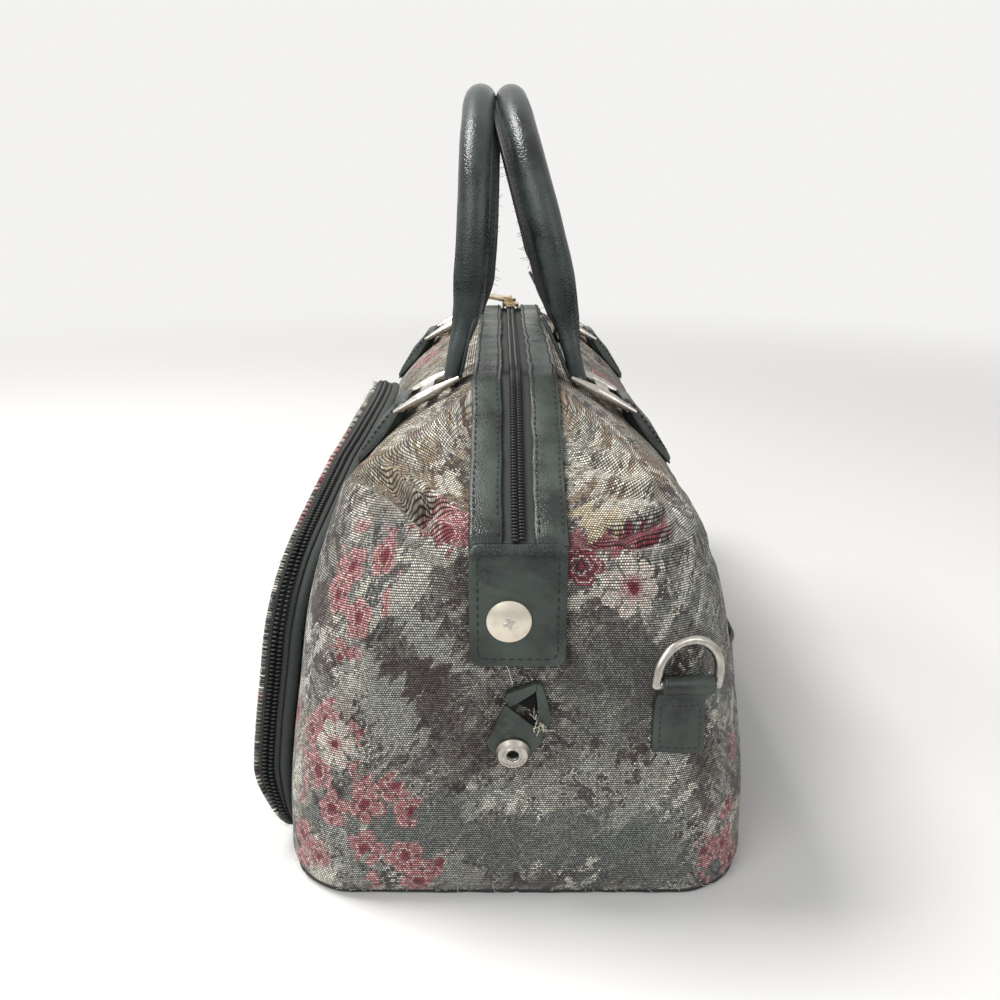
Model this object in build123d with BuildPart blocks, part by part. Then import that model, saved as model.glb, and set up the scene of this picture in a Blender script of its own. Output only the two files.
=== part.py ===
import os
from math import asin, atan, atan2, cos, hypot, radians, sin, tan

from build123d import *

# Cloth body: length along X, width along Y with the pocket on -Y, height along Z
body_length = 370.0
body_width = 172.0
ridge_height = 176.0
shoulder_height = 138.0
corner_radius = 36.0
cloth_wall = 3.0
seat_gap = 0.3

# Plan sections of the walls, as shares of height, half length, half width and corner,
# with the shares by which an offset skin spreads and rises there
wall_shares = (
    (0.0, 0.96, 0.93, 0.83, 1.0, 0.0),
    (0.11, 0.995, 1.0, 1.0, 1.0, 0.0),
    (0.53, 1.0, 0.942, 1.0, 1.0, 0.1),
    (0.88, 1.0, 0.826, 0.9, 1.0, 0.3),
    (1.0, 1.0, 0.744, 0.8, 1.0, 0.5),
)
# Plan sections of the roof above the shoulder, on the same shares of its own height
roof_shares = (
    (0.32, 0.861, 0.628, 0.67, 0.5, 0.85),
    (0.79, 0.658, 0.355, 0.39, 0.5, 0.85),
    (1.0, 0.568, 0.174, 0.14, 0.5, 0.85),
)

# Base: cloth panel, stiffening board and piped edge
base_thickness = 2.5
board_thickness = 2.5
board_margin = 6.0
piping_size = 3.6

# Main zip: tapes, leather bands and coils, built up from the cloth along the ridge and hips
crest_radius = 30.0
band_inner = 6.0
band_width = 10.5
band_thickness = 2.2
tape_thickness = 0.7
tape_inner = 1.0
coil_inner = 0.9
coil_width = 2.3
coil_height = 2.4
mouth_half_width = 8.0
mouth_end_margin = 13.0

# Zip sliders and their pulls
slider_length = 13.0
slider_width = 9.4
slider_plate = 1.5
slider_flange = 1.1
slider_clearance = 0.35
slider_post = 0.9
slider_home = 91.0
skirt_share = 0.5
bridge_height = 4.2
bridge_span = 6.6
bridge_width = 1.6
bridge_wire = 1.3
pull_length = 24.0
pull_width = 8.4
pull_thickness = 1.6
pull_window = 7.0
pull_yaw = 30.0
pull_corner_share = 0.3

# End tab with its snap cap
tab_width = 32.6
tab_height = 42.0
tab_thickness = 2.2
tab_corner = 5.0
cap_diameter = 15.0
cap_height = 2.6
cap_rim = 1.0
cap_drop = 25.0
cap_shift = 3.0

# Snap keeper below the tab: a leather loop that narrows and flattens towards its tip
keeper_width = 20.0
keeper_height = 31.0
keeper_stand = 6.5
keeper_tip_stand = 2.2
keeper_leather = 1.8
keeper_centre_height = 70.0
keeper_outline_shares = ((-0.26, 0.5), (0.46, 0.5), (0.5, 0.1), (0.46, -0.2), (0.03, -0.5), (-0.5, -0.25))
keeper_tear_shares = ((0.1, 0.6), (0.34, 0.6), (0.3, 0.4), (0.2, 0.33))
keeper_loop_share = 0.38
keeper_tip_share = 0.72
socket_diameter = 12.0
socket_height = 2.4
socket_hole = 4.4
socket_step = 0.9
socket_place_shares = (-0.08, -0.2)

# Handle straps, links and handles, worked out at one corner and mirrored
link_place = 88.0
lower_pin_reach = 45.1
lower_pin_height = 164.4
upper_pin_reach = 25.3
upper_pin_height = 175.0
pin_diameter = 3.0
pin_fit = 0.05
loop_leather = 1.85
link_inner_width = 20.0
rail_diameter = 4.6
rail_tip = 1.6
rail_overhang = 3.6
rail_waist_share = 0.36
link_plate_width = 6.0
link_plate_thickness = 2.0
link_side_play = 0.5
strap_tip_reach = 63.5
strap_tip_height = 140.0
strap_dome = 5.2
strap_dome_sink = 1.0
strap_edge = 1.6
strap_dome_share = 0.45
strap_point_share = 0.55

handle_apex_height = 282.5
handle_diameter = 13.0
handle_bend = 60.0
handle_seam = 3.2
handle_seam_reach = 2.4
handle_taper = 20.0
handle_taper_share = 0.985
handle_loop_width = 17.0
handle_loop_height = 22.0
handle_neck_width = 11.0
handle_neck_depth = 8.8
handle_slit = 1.3
handle_slit_share = 0.62
rivet_diameter = 7.0
rivet_height = 2.2
rivet_rim = 0.6
rivet_share = 0.82
front_apex_reach = 16.2
back_apex_reach = 3.6
handle_bend_share = 0.95

# Shoulder-strap rings on the back corners
ring_wire = 3.4
ring_inner_width = 20.2
ring_reach = 16.0
ring_corner_angle = 18.0
ring_bar_height = 89.0
ring_bar_stand = 4.2
ring_tab_width = 19.2
ring_tab_length = 28.0
ring_tab_edge = 1.5
ring_tab_leather = 1.5
ring_tab_tilt = 9.0
ring_rest_lean = 5.0

# Zip-around pocket on the front, in layers counted outwards from the body
pocket_length = 310.0
pocket_bottom = 14.0
pocket_side_top = 112.0
pocket_top = 146.0
pocket_upper_corner = 42.0
pocket_lower_corner = 24.0
pocket_wall = 2.4
pocket_roll_wall = 5.2
pocket_roll_depth = 4.6
pocket_inner_tape_depth = 1.9
pocket_coil_depth = 4.6
pocket_outer_tape_depth = 1.6
pocket_panel_depth = 2.0
pocket_coil_proud = 1.0
pocket_run_shares = (0.18, 0.82)

# Sleeve across the back
sleeve_length = 278.0
sleeve_bottom = 26.0
sleeve_top = 75.0
sleeve_gap = 7.5
sleeve_thickness = 2.2
sleeve_hem = 8.0

half_length = body_length / 2
half_width = body_width / 2
ridge_half = half_length * roof_shares[-1][1]
hip_angle = atan2(ridge_height - shoulder_height, half_length - ridge_half)
pin_radius = pin_diameter / 2
ring_radius = ring_wire / 2


def plan_section(shares, low, high, proud):
    height_share, length_share, width_share, corner_share, spread_share, rise_share = shares
    grow = proud * spread_share
    level = low + (high - low) * height_share + proud * rise_share
    with BuildSketch(Plane.XY.offset(level)) as section:
        RectangleRounded(
            2 * (half_length * length_share + grow),
            2 * (half_width * width_share + grow),
            corner_radius * corner_share + grow,
        )
    return section.sketch


def body_form(proud):
    # The filled body, swollen by proud: bulging walls up to the shoulder, then the hipped roof
    shoulder_shares = (0.0,) + wall_shares[-1][1:]
    walls = [plan_section(shares, 0, shoulder_height, proud) for shares in wall_shares]
    roof = [
        plan_section(shares, shoulder_height, ridge_height, proud)
        for shares in (shoulder_shares,) + roof_shares
    ]
    with BuildPart() as form:
        loft(walls)
        loft(roof)
    return form.part


def zip_strip(level, thickness, inner, width):
    # A strip that follows the ridge and both hips at a level above the cloth, on the -Y side
    middle = level + thickness / 2
    foot_x = half_length + middle * sin(hip_angle)
    foot_z = shoulder_height + middle * cos(hip_angle)
    crest_x = ridge_half + middle * tan(hip_angle / 2)
    crest_z = ridge_height + middle
    with BuildPart() as strip:
        with BuildSketch(Plane.XZ.offset(inner)):
            with BuildLine():
                FilletPolyline(
                    (-foot_x, foot_z),
                    (-crest_x, crest_z),
                    (crest_x, crest_z),
                    (foot_x, foot_z),
                    radius=crest_radius + middle,
                )
            trace(line_width=thickness)
        extrude(amount=width)
    return strip.part


def dome(seat, radius, height, rim):
    # A round cap on a seat plane: straight rim, then a shallow dome off a sphere
    crown = height - rim
    sphere = (radius * radius + crown * crown) / (2 * crown)
    slope = asin(radius / sphere) / 2
    halfway = (height - sphere * (1 - cos(slope)), sphere * sin(slope))
    with BuildPart() as cap:
        with BuildSketch(Plane(seat.origin, x_dir=seat.z_dir, z_dir=-seat.x_dir)):
            with BuildLine():
                Polyline((height, 0), (0, 0), (0, radius), (rim, radius))
                ThreePointArc((rim, radius), halfway, (height, 0))
            make_face()
        revolve(axis=Axis(seat.origin, seat.z_dir))
    return cap.part


def folded_leather(frame, bar_radius, leather, width, dome_circle, tip_circle):
    # Leather folded over a bar along the frame's X and sewn down towards its -Y;
    # each circle is its place along the strap, its place outwards and its radius
    with BuildPart() as fold:
        with BuildSketch(Plane(frame.origin, x_dir=frame.y_dir, z_dir=frame.x_dir)):
            Circle(bar_radius + pin_fit + leather)
            for along, outwards, radius in (dome_circle, tip_circle):
                with Locations((along, outwards)):
                    Circle(radius)
            make_hull()
            Circle(bar_radius + pin_fit, mode=Mode.SUBTRACT)
        extrude(amount=width / 2, both=True)
        add(body_seat, mode=Mode.SUBTRACT)
    return fold.part


def slider_shell(frame, skirt):
    # Upper shell of a slider: the frame's X runs along the zip, its Z points out of the plate
    hole_height = bridge_height - bridge_wire
    with BuildPart() as slider:
        with BuildSketch(frame):
            SlotOverall(slider_length, slider_width)
        extrude(amount=slider_plate)
        with BuildSketch(frame):
            SlotOverall(slider_length, slider_width)
            Rectangle(slider_length, slider_width - 2 * slider_flange, mode=Mode.SUBTRACT)
        extrude(amount=-skirt)
        with BuildSketch(Plane(frame.origin, x_dir=frame.x_dir, z_dir=-frame.y_dir)):
            with Locations((0, slider_plate + bridge_height / 2)):
                Rectangle(bridge_span, bridge_height)
            fillet(vertices().group_by(Axis.Y)[-1], bridge_wire)
            with Locations((0, slider_plate + hole_height / 2)):
                Rectangle(bridge_span - 2 * bridge_wire, hole_height, mode=Mode.SUBTRACT)
        extrude(amount=bridge_width / 2, both=True)
    return slider.part


def pull_plate(frame):
    # Pull that hangs from its crossbar at the frame's origin and lies along the frame's X
    with BuildPart() as pull:
        with BuildSketch(frame.offset(-pull_thickness / 2)):
            with Locations(((pull_length - pull_thickness) / 2, 0)):
                RectangleRounded(pull_length, pull_width, pull_width * pull_corner_share)
            with Locations(((pull_thickness + pull_window) / 2, 0)):
                Rectangle(pull_window, pull_width - 2 * pull_thickness, mode=Mode.SUBTRACT)
        extrude(amount=pull_thickness)
    return pull.part


def turned(plane, angle):
    # The plane turned about its own normal
    turn = radians(angle)
    return Plane(plane.origin, x_dir=plane.x_dir * cos(turn) + plane.y_dir * sin(turn), z_dir=plane.z_dir)


def leaned(plane, angle):
    # The plane tipped about its own X, with its Y going in behind it
    lean = radians(angle)
    return Plane(plane.origin, x_dir=plane.x_dir, z_dir=plane.z_dir * cos(lean) + plane.y_dir * sin(lean))


def save(piece, name):
    piece.label = name
    export_step(piece, f"parts/{name}.step")


def save_pair(piece, names, plane):
    save(piece, names[0])
    save(mirror(piece, about=plane), names[1])


def save_four(piece, stem):
    for side, corner in (("front", piece), ("back", mirror(piece, about=Plane.XZ))):
        save_pair(corner, (f"{side}_{stem}_near", f"{side}_{stem}_far"), Plane.YZ)


os.makedirs("parts", exist_ok=True)
body_outer = body_form(0)
body_seat = body_form(seat_gap)

# Cloth halves, sewn together at the middle of each end, with the mouth left open under the zip
band_outer = band_inner + band_width
with BuildPart() as front_body_cloth:
    add(body_outer)
    add(body_form(-cloth_wall), mode=Mode.SUBTRACT)
    add(zip_strip(0, ridge_height, 0, band_outer + seat_gap), mode=Mode.SUBTRACT)
    with Locations((0, 0, ridge_height)):
        Box(
            2 * (half_length - mouth_end_margin),
            2 * mouth_half_width,
            2 * (ridge_height - shoulder_height - cloth_wall),
            mode=Mode.SUBTRACT,
        )
    split(bisect_by=Plane.XZ, keep=Keep.TOP)
save_pair(front_body_cloth.part, ("front_body_cloth", "back_body_cloth"), Plane.XZ)

# Base panel inside the lower hem, the board that lies on it and the piped edge around it
hem_half_length = half_length * wall_shares[0][1]
hem_half_width = half_width * wall_shares[0][2]
hem_corner = corner_radius * wall_shares[0][3]


def hem_size(grow):
    return (2 * (hem_half_length + grow), 2 * (hem_half_width + grow), hem_corner + grow)


with BuildPart() as base_panel:
    with BuildSketch():
        RectangleRounded(*hem_size(-cloth_wall - seat_gap))
    extrude(amount=base_thickness)
save(base_panel.part, "base_panel")

with BuildPart() as base_board:
    with BuildSketch(Plane.XY.offset(base_thickness)):
        RectangleRounded(*hem_size(-cloth_wall - board_margin))
    extrude(amount=board_thickness)
save(base_board.part, "base_board")

with BuildPart() as base_piping:
    with BuildSketch():
        RectangleRounded(*hem_size(piping_size))
        RectangleRounded(*hem_size(0), mode=Mode.SUBTRACT)
    extrude(amount=piping_size)
    add(body_seat, mode=Mode.SUBTRACT)
save(base_piping.part, "base_piping")

# Main zip, from the cloth upwards
tape_level = seat_gap
band_level = tape_level + tape_thickness
coil_top = band_level + coil_height
zip_layers = {
    "tape": zip_strip(tape_level, tape_thickness, tape_inner, band_outer - tape_inner),
    "band": zip_strip(band_level, band_thickness, band_inner, band_width),
    "coil": zip_strip(band_level, coil_height, coil_inner, coil_width),
}
for layer, strip in zip_layers.items():
    save_pair(strip, (f"zip_{layer}_front", f"zip_{layer}_back"), Plane.XZ)

# Slider at the far end of the ridge: its lower plate runs below the tapes, on a post between them
slider_skirt = slider_clearance + coil_height * skirt_share
slider_depth = coil_top - tape_level + 2 * slider_clearance
slider_frame = Plane((-slider_home, 0, ridge_height + coil_top + slider_clearance))
with BuildPart() as zip_slider:
    add(slider_shell(slider_frame, slider_skirt))
    with BuildSketch(slider_frame.offset(-slider_depth)):
        SlotOverall(slider_length, slider_width)
    extrude(amount=-slider_plate)
    with BuildSketch(slider_frame.offset(-slider_depth)):
        with Locations(((slider_width - slider_length) / 2, 0)):
            Rectangle(slider_flange, slider_post)
    extrude(amount=slider_depth)
save(zip_slider.part, "zip_slider")

pull_rise = slider_plate + (bridge_height - bridge_wire) / 2
pull_heading = radians(180 + pull_yaw)
pull_along = (cos(pull_heading), sin(pull_heading), 0)
save(pull_plate(Plane(slider_frame.offset(pull_rise).origin, x_dir=pull_along)), "zip_pull")

# End tab on the end wall, below the foot of the zip, and its snap cap
end_face = Plane((half_length + seat_gap, 0, shoulder_height), x_dir=(0, 1, 0), z_dir=(1, 0, 0))
with BuildPart() as end_tab:
    with BuildSketch(end_face):
        with Locations((0, -seat_gap - tab_height / 2)):
            Rectangle(tab_width, tab_height)
        fillet(vertices().group_by(Axis.Y)[0], tab_corner)
    extrude(amount=tab_thickness)
    fillet(end_tab.faces().sort_by(Axis.X)[-1].edges(), tab_thickness / 3)
    add(body_seat, mode=Mode.SUBTRACT)
save_pair(end_tab.part, ("end_tab_near", "end_tab_far"), Plane.YZ)

cap_origin = end_face.from_local_coords((-cap_shift, -cap_drop, tab_thickness))
with BuildPart() as snap_caps:
    add(dome(Plane(cap_origin, x_dir=(0, 1, 0), z_dir=(1, 0, 0)), cap_diameter / 2, cap_height, cap_rim))
    mirror(about=Plane.YZ)
save(snap_caps.part, "snap_caps")

# Snap keeper: an arched leather loop, open at its torn top and flattened to a sewn tip
keeper_origin = (half_length + seat_gap, 0, keeper_centre_height)
keeper_frame = Plane(keeper_origin, x_dir=(0, 1, 0), z_dir=(1, 0, 0))


def keeper_arch(along, width, stand):
    origin = keeper_frame.from_local_coords((0, along, 0))
    with BuildSketch(Plane(origin, x_dir=keeper_frame.x_dir, z_dir=-keeper_frame.y_dir)) as arch:
        Ellipse(width / 2, stand)
        with Locations((0, -stand / 2)):
            Rectangle(width, stand, mode=Mode.SUBTRACT)
    return arch.sketch


def keeper_points(shares):
    return [(keeper_width * across_share, keeper_height * up_share) for across_share, up_share in shares]


keeper_half = keeper_height / 2
keeper_bore = keeper_width - 2 * keeper_leather
with BuildPart() as keeper_block:
    loft([
        keeper_arch(keeper_half, keeper_width, keeper_stand),
        keeper_arch(-keeper_half, keeper_width * keeper_tip_share, keeper_tip_stand),
    ])
with BuildPart() as keeper_hollow:
    loft([
        keeper_arch(keeper_half, keeper_bore, keeper_stand - keeper_leather),
        keeper_arch(-keeper_half * keeper_loop_share, keeper_bore * keeper_tip_share, seat_gap),
    ])
with BuildPart() as keeper_near:
    add(keeper_block.part)
    add(keeper_hollow.part, mode=Mode.SUBTRACT)
    with BuildSketch(keeper_frame):
        Polygon(*keeper_points(keeper_outline_shares), align=None)
        Polygon(*keeper_points(keeper_tear_shares), align=None, mode=Mode.SUBTRACT)
    extrude(amount=keeper_width, mode=Mode.INTERSECT)
    add(body_seat, mode=Mode.SUBTRACT)
with BuildPart() as keeper_far:
    add(keeper_block.part)
    add(keeper_hollow.part, mode=Mode.SUBTRACT)
    with BuildSketch(keeper_frame):
        Polygon(*keeper_points(keeper_outline_shares), align=None)
    extrude(amount=keeper_width, mode=Mode.INTERSECT)
    add(body_seat, mode=Mode.SUBTRACT)
save(keeper_near.part, "keeper_near")
save(mirror(keeper_far.part, about=Plane.YZ), "keeper_far")

# Snap sockets, square to the sloping face of the keepers
keeper_slope = (keeper_stand - keeper_tip_stand) / keeper_height
socket_along = keeper_height * socket_place_shares[1]
socket_stand = (keeper_stand + keeper_tip_stand) / 2 + keeper_slope * socket_along
socket_across = keeper_width * socket_place_shares[0]
socket_origin = keeper_frame.from_local_coords((socket_across, socket_along, socket_stand))
socket_tilt = atan(keeper_slope)
socket_out = keeper_frame.z_dir * cos(socket_tilt) - keeper_frame.y_dir * sin(socket_tilt)
with BuildPart() as snap_sockets:
    with BuildSketch(Plane(socket_origin, x_dir=socket_out, z_dir=keeper_frame.x_dir)):
        with BuildLine():
            Polyline(
                (-keeper_leather, socket_hole / 2),
                (-keeper_leather, socket_diameter / 2),
                (socket_step, socket_diameter / 2),
                (socket_height, socket_diameter / 2 - socket_step),
                (socket_height, socket_hole / 2 + socket_step),
                (socket_step, socket_hole / 2),
                close=True,
            )
        make_face()
    revolve(axis=Axis(socket_origin, socket_out))
    add(keeper_block.part, mode=Mode.SUBTRACT)
    mirror(about=Plane.YZ)
save(snap_sockets.part, "snap_sockets")

# Handle straps: padded leather folded over the lower pins and sewn to a point
strap_rise = strap_tip_height - lower_pin_height
strap_run = strap_tip_reach - lower_pin_reach
strap_length = hypot(strap_rise, strap_run)
lower_pin = (link_place, -lower_pin_reach, lower_pin_height)
strap_out = (0, strap_rise / strap_length, strap_run / strap_length)
strap_frame = Plane(lower_pin, x_dir=(1, 0, 0), z_dir=strap_out)
strap_width = link_inner_width - 2 * link_side_play
with BuildPart() as handle_strap:
    add(
        folded_leather(
            strap_frame,
            pin_radius,
            loop_leather,
            strap_width,
            (-strap_length * strap_dome_share, -strap_dome_sink, strap_dome),
            (-strap_length, 0, strap_edge),
        )
    )
    with BuildSketch(strap_frame):
        with BuildLine():
            Polyline(
                (-strap_width / 2, -strap_length * strap_point_share),
                (-strap_width / 2, strap_width),
                (strap_width / 2, strap_width),
                (strap_width / 2, -strap_length * strap_point_share),
                (0, -strap_length - strap_edge),
                close=True,
            )
        make_face()
        fillet(vertices().group_by(Axis.Y)[0], strap_edge)
    extrude(amount=strap_width, both=True, mode=Mode.INTERSECT)
save_four(handle_strap.part, "strap")

# Links: two spindle rails, a flat plate between them and a pin at each end
pin_span = hypot(upper_pin_reach - lower_pin_reach, upper_pin_height - lower_pin_height)
link_in = (lower_pin_reach - upper_pin_reach) / pin_span
link_rise = (upper_pin_height - lower_pin_height) / pin_span
link_frame = Plane(lower_pin, x_dir=(1, 0, 0), z_dir=(0, -link_rise, link_in))
rail_offset = (link_inner_width + rail_diameter) / 2
rail_waist = pin_span * rail_waist_share
with BuildPart() as handle_link:
    for side in (-rail_offset, rail_offset):
        with BuildSketch(link_frame):
            with BuildLine():
                Polyline(
                    (side, pin_span + rail_overhang),
                    (side, -rail_overhang),
                    (side + rail_tip / 2, -rail_overhang),
                    (side + rail_diameter / 2, rail_waist),
                    (side + rail_diameter / 2, pin_span - rail_waist),
                    (side + rail_tip / 2, pin_span + rail_overhang),
                    close=True,
                )
            make_face()
        revolve(axis=Axis(link_frame.from_local_coords((side, 0, 0)), link_frame.y_dir))
    for along in (0, pin_span):
        pin_origin = link_frame.from_local_coords((0, along, 0))
        with BuildSketch(Plane(pin_origin, x_dir=link_frame.y_dir, z_dir=(1, 0, 0))):
            Circle(pin_radius)
        extrude(amount=rail_offset, both=True)
    with BuildSketch(link_frame):
        with Locations((0, pin_span / 2)):
            Rectangle(2 * rail_offset, link_plate_width)
    extrude(amount=link_plate_thickness / 2, both=True)
save_four(handle_link.part, "link")


def handle_loop(frame):
    # End of a handle, folded round the upper pin: a slit teardrop that narrows into the grip
    with BuildPart() as loop:
        with BuildSketch(Plane(frame.origin, x_dir=frame.y_dir, z_dir=frame.x_dir)):
            Circle(pin_radius + pin_fit + loop_leather)
            with Locations((handle_loop_height, 0)):
                Circle(handle_neck_depth / 2)
            make_hull()
        extrude(amount=handle_loop_width / 2, both=True)
        with BuildSketch(Plane(frame.origin, x_dir=frame.y_dir, z_dir=frame.x_dir)):
            Circle(pin_radius + pin_fit)
            with Locations((handle_loop_height * handle_slit_share, 0)):
                Circle(handle_slit)
            make_hull()
        extrude(amount=handle_loop_width, both=True, mode=Mode.SUBTRACT)
        with BuildSketch(frame):
            with BuildLine():
                Polyline(
                    (-handle_loop_width / 2, -handle_neck_depth),
                    (handle_loop_width / 2, -handle_neck_depth),
                    (handle_loop_width / 2, handle_loop_height / 3),
                    (handle_neck_width / 2, handle_loop_height),
                    (handle_neck_width / 2, handle_loop_height + handle_neck_depth),
                    (-handle_neck_width / 2, handle_loop_height + handle_neck_depth),
                    (-handle_neck_width / 2, handle_loop_height),
                    (-handle_loop_width / 2, handle_loop_height / 3),
                    close=True,
                )
            make_face()
        extrude(amount=handle_loop_width, both=True, mode=Mode.INTERSECT)
    return loop.part


def handle_pieces(apex_reach):
    # A front handle leaning inwards to its apex, and the rivets that close its end loops
    lean = atan2(upper_pin_reach - apex_reach, handle_apex_height - upper_pin_height)
    lean_sin = sin(lean)
    lean_cos = cos(lean)
    frame = Plane(
        (0, -upper_pin_reach, upper_pin_height), x_dir=(1, 0, 0), z_dir=(0, -lean_cos, lean_sin)
    )
    apex = (handle_apex_height - upper_pin_height) / lean_cos
    neck = handle_loop_height + handle_taper
    grip_radius = handle_diameter / 2
    seam_depth = grip_radius + handle_seam_reach
    with BuildPart() as handle:
        with BuildLine(frame) as grip_line:
            FilletPolyline(
                (-link_place, neck),
                (-link_place, apex),
                (link_place, apex),
                (link_place, neck),
                radius=min(handle_bend, (apex - neck) * handle_bend_share),
            )
        grip_start = frame.from_local_coords((-link_place, neck, 0))
        with BuildSketch(Plane(grip_start, x_dir=frame.z_dir, z_dir=frame.y_dir)):
            Circle(grip_radius)
            with Locations((-seam_depth / 2, 0)):
                Rectangle(seam_depth, handle_seam)
        sweep(path=grip_line.wires()[0])
        for side in (-link_place, link_place):
            foot = Plane(frame.from_local_coords((side, 0, 0)), x_dir=(1, 0, 0), z_dir=frame.z_dir)
            narrow_origin = foot.from_local_coords((0, handle_loop_height, 0))
            with BuildSketch(Plane(narrow_origin, x_dir=(1, 0, 0), z_dir=foot.y_dir)):
                Ellipse(handle_neck_width / 2, handle_neck_depth / 2)
            wide_origin = foot.from_local_coords((0, neck, 0))
            with BuildSketch(Plane(wide_origin, x_dir=(1, 0, 0), z_dir=foot.y_dir)):
                Circle(grip_radius * handle_taper_share)
            loft()
            add(handle_loop(foot))
    with BuildPart() as rivets:
        for side in (-link_place, link_place):
            rivet_along = handle_loop_height * rivet_share
            rivet_origin = frame.from_local_coords((side, rivet_along, -handle_neck_depth / 2))
            seat = Plane(rivet_origin, x_dir=(1, 0, 0), z_dir=-frame.z_dir)
            add(dome(seat, rivet_diameter / 2, rivet_height, rivet_rim))
    return handle.part, rivets.part


front_handle, front_rivets = handle_pieces(front_apex_reach)
save(front_handle, "front_handle")
save(front_rivets, "front_handle_rivets")
back_handle, back_rivets = handle_pieces(back_apex_reach)
save(mirror(back_handle, about=Plane.XZ), "back_handle")
save(mirror(back_rivets, about=Plane.XZ), "back_handle_rivets")

# Shoulder-strap rings: a leather tab round the bar of each D, on the rounded back corner
belly_half_width = half_width * wall_shares[2][2]
ring_angle = radians(ring_corner_angle)
ring_out = (cos(ring_angle), sin(ring_angle), 0)
ring_stand = corner_radius + ring_bar_stand
ring_bar = (
    half_length - corner_radius + ring_stand * cos(ring_angle),
    belly_half_width - corner_radius + ring_stand * sin(ring_angle),
    ring_bar_height,
)
ring_across = (-sin(ring_angle), cos(ring_angle), 0)
ring_frame = turned(Plane(ring_bar, x_dir=ring_across, z_dir=ring_out), -ring_tab_tilt)
ring_tab = folded_leather(
    ring_frame,
    ring_radius,
    ring_tab_leather,
    ring_tab_width,
    (-ring_tab_length / 2, -ring_tab_leather, ring_bar_stand - ring_tab_leather),
    (-ring_tab_length, -ring_bar_stand, 2 * ring_tab_edge),
)
save_pair(ring_tab, ("ring_tab_near", "ring_tab_far"), Plane.YZ)

ring_half = ring_inner_width / 2 + ring_radius
ring_straight = ring_reach - ring_half
ring_plane = leaned(ring_frame, ring_rest_lean)
with BuildPart() as d_ring:
    with BuildLine(ring_plane) as bow_line:
        Polyline((-ring_half, 0), (-ring_half, ring_straight))
        ThreePointArc((-ring_half, ring_straight), (0, ring_reach), (ring_half, ring_straight))
        Polyline((ring_half, ring_straight), (ring_half, 0))
    bow_start = ring_plane.from_local_coords((-ring_half, 0, 0))
    with BuildSketch(Plane(bow_start, x_dir=ring_plane.x_dir, z_dir=ring_plane.y_dir)):
        Circle(ring_radius)
    sweep(path=bow_line.wires()[0])
    with BuildSketch(Plane(bow_start, x_dir=ring_plane.y_dir, z_dir=ring_plane.x_dir)):
        Circle(ring_radius)
    extrude(amount=2 * ring_half)
    with Locations(bow_start, ring_plane.from_local_coords((ring_half, 0, 0))):
        Sphere(ring_radius)
save_pair(d_ring.part, ("d_ring_near", "d_ring_far"), Plane.YZ)

# Zip-around pocket: an arched outline, laid in rings over the bulge of the front
pocket_half = pocket_length / 2
with BuildSketch(Plane.XZ) as pocket_outline:
    with BuildLine():
        Polyline(
            (-pocket_half, pocket_side_top),
            (-pocket_half, pocket_bottom),
            (pocket_half, pocket_bottom),
            (pocket_half, pocket_side_top),
        )
        ThreePointArc((pocket_half, pocket_side_top), (0, pocket_top), (-pocket_half, pocket_side_top))
    make_face()
    fillet(vertices().group_by(Axis.Y)[0], pocket_lower_corner)
    fillet(vertices().group_by(Axis.Y)[-1], pocket_upper_corner)


def pocket_layer(level, depth, wall, proud):
    outline = pocket_outline.sketch
    if proud > 0:
        outline = offset(outline, amount=proud)
    with BuildPart() as ring:
        extrude(outline, amount=body_width, dir=(0, -1, 0))
        if wall > 0:
            extrude(offset(outline, amount=-wall), amount=body_width, dir=(0, -1, 0), mode=Mode.SUBTRACT)
        add(body_form(level + depth), mode=Mode.INTERSECT)
        add(body_form(level), mode=Mode.SUBTRACT)
    return ring.part


pocket_layers = (
    ("pocket_roll", pocket_roll_depth, pocket_roll_wall, 0),
    ("pocket_tape_inner", pocket_inner_tape_depth, pocket_wall, 0),
    ("pocket_coil", pocket_coil_depth, pocket_wall, pocket_coil_proud),
    ("pocket_tape_outer", pocket_outer_tape_depth, pocket_wall, 0),
    ("pocket_panel", pocket_panel_depth, 0, 0),
)
pocket_level = seat_gap
pocket_rings = {}
for name, depth, wall, proud in pocket_layers:
    pocket_rings[name] = pocket_layer(pocket_level, depth, wall, proud)
    save(pocket_rings[name], name)
    pocket_level = pocket_level + depth

# Pocket slider near the foot of the far side run, on the flat outer face of the coil
coil_face = pocket_rings["pocket_coil"].faces().filter_by(Axis.X).sort_by(Axis.X)[0]
coil_edges = coil_face.edges().sort_by(SortBy.LENGTH)[-2:]


def run_point(share):
    ends = [edge.position_at(share if (edge @ 1).Z > (edge @ 0).Z else 1 - share) for edge in coil_edges]
    return (ends[0] + ends[1]) / 2


pocket_run = (run_point(pocket_run_shares[1]) - run_point(pocket_run_shares[0])).normalized()
slider_seat = run_point(pocket_run_shares[0]) - Vector(slider_clearance, 0, 0)
pocket_slider_frame = Plane(slider_seat, x_dir=pocket_run, z_dir=(-1, 0, 0))
save(slider_shell(pocket_slider_frame, pocket_coil_proud / 2), "pocket_slider")
pocket_pull_frame = Plane(pocket_slider_frame.offset(pull_rise).origin, x_dir=-pocket_run, z_dir=(-1, 0, 0))
save(pull_plate(pocket_pull_frame), "pocket_pull")

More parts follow.
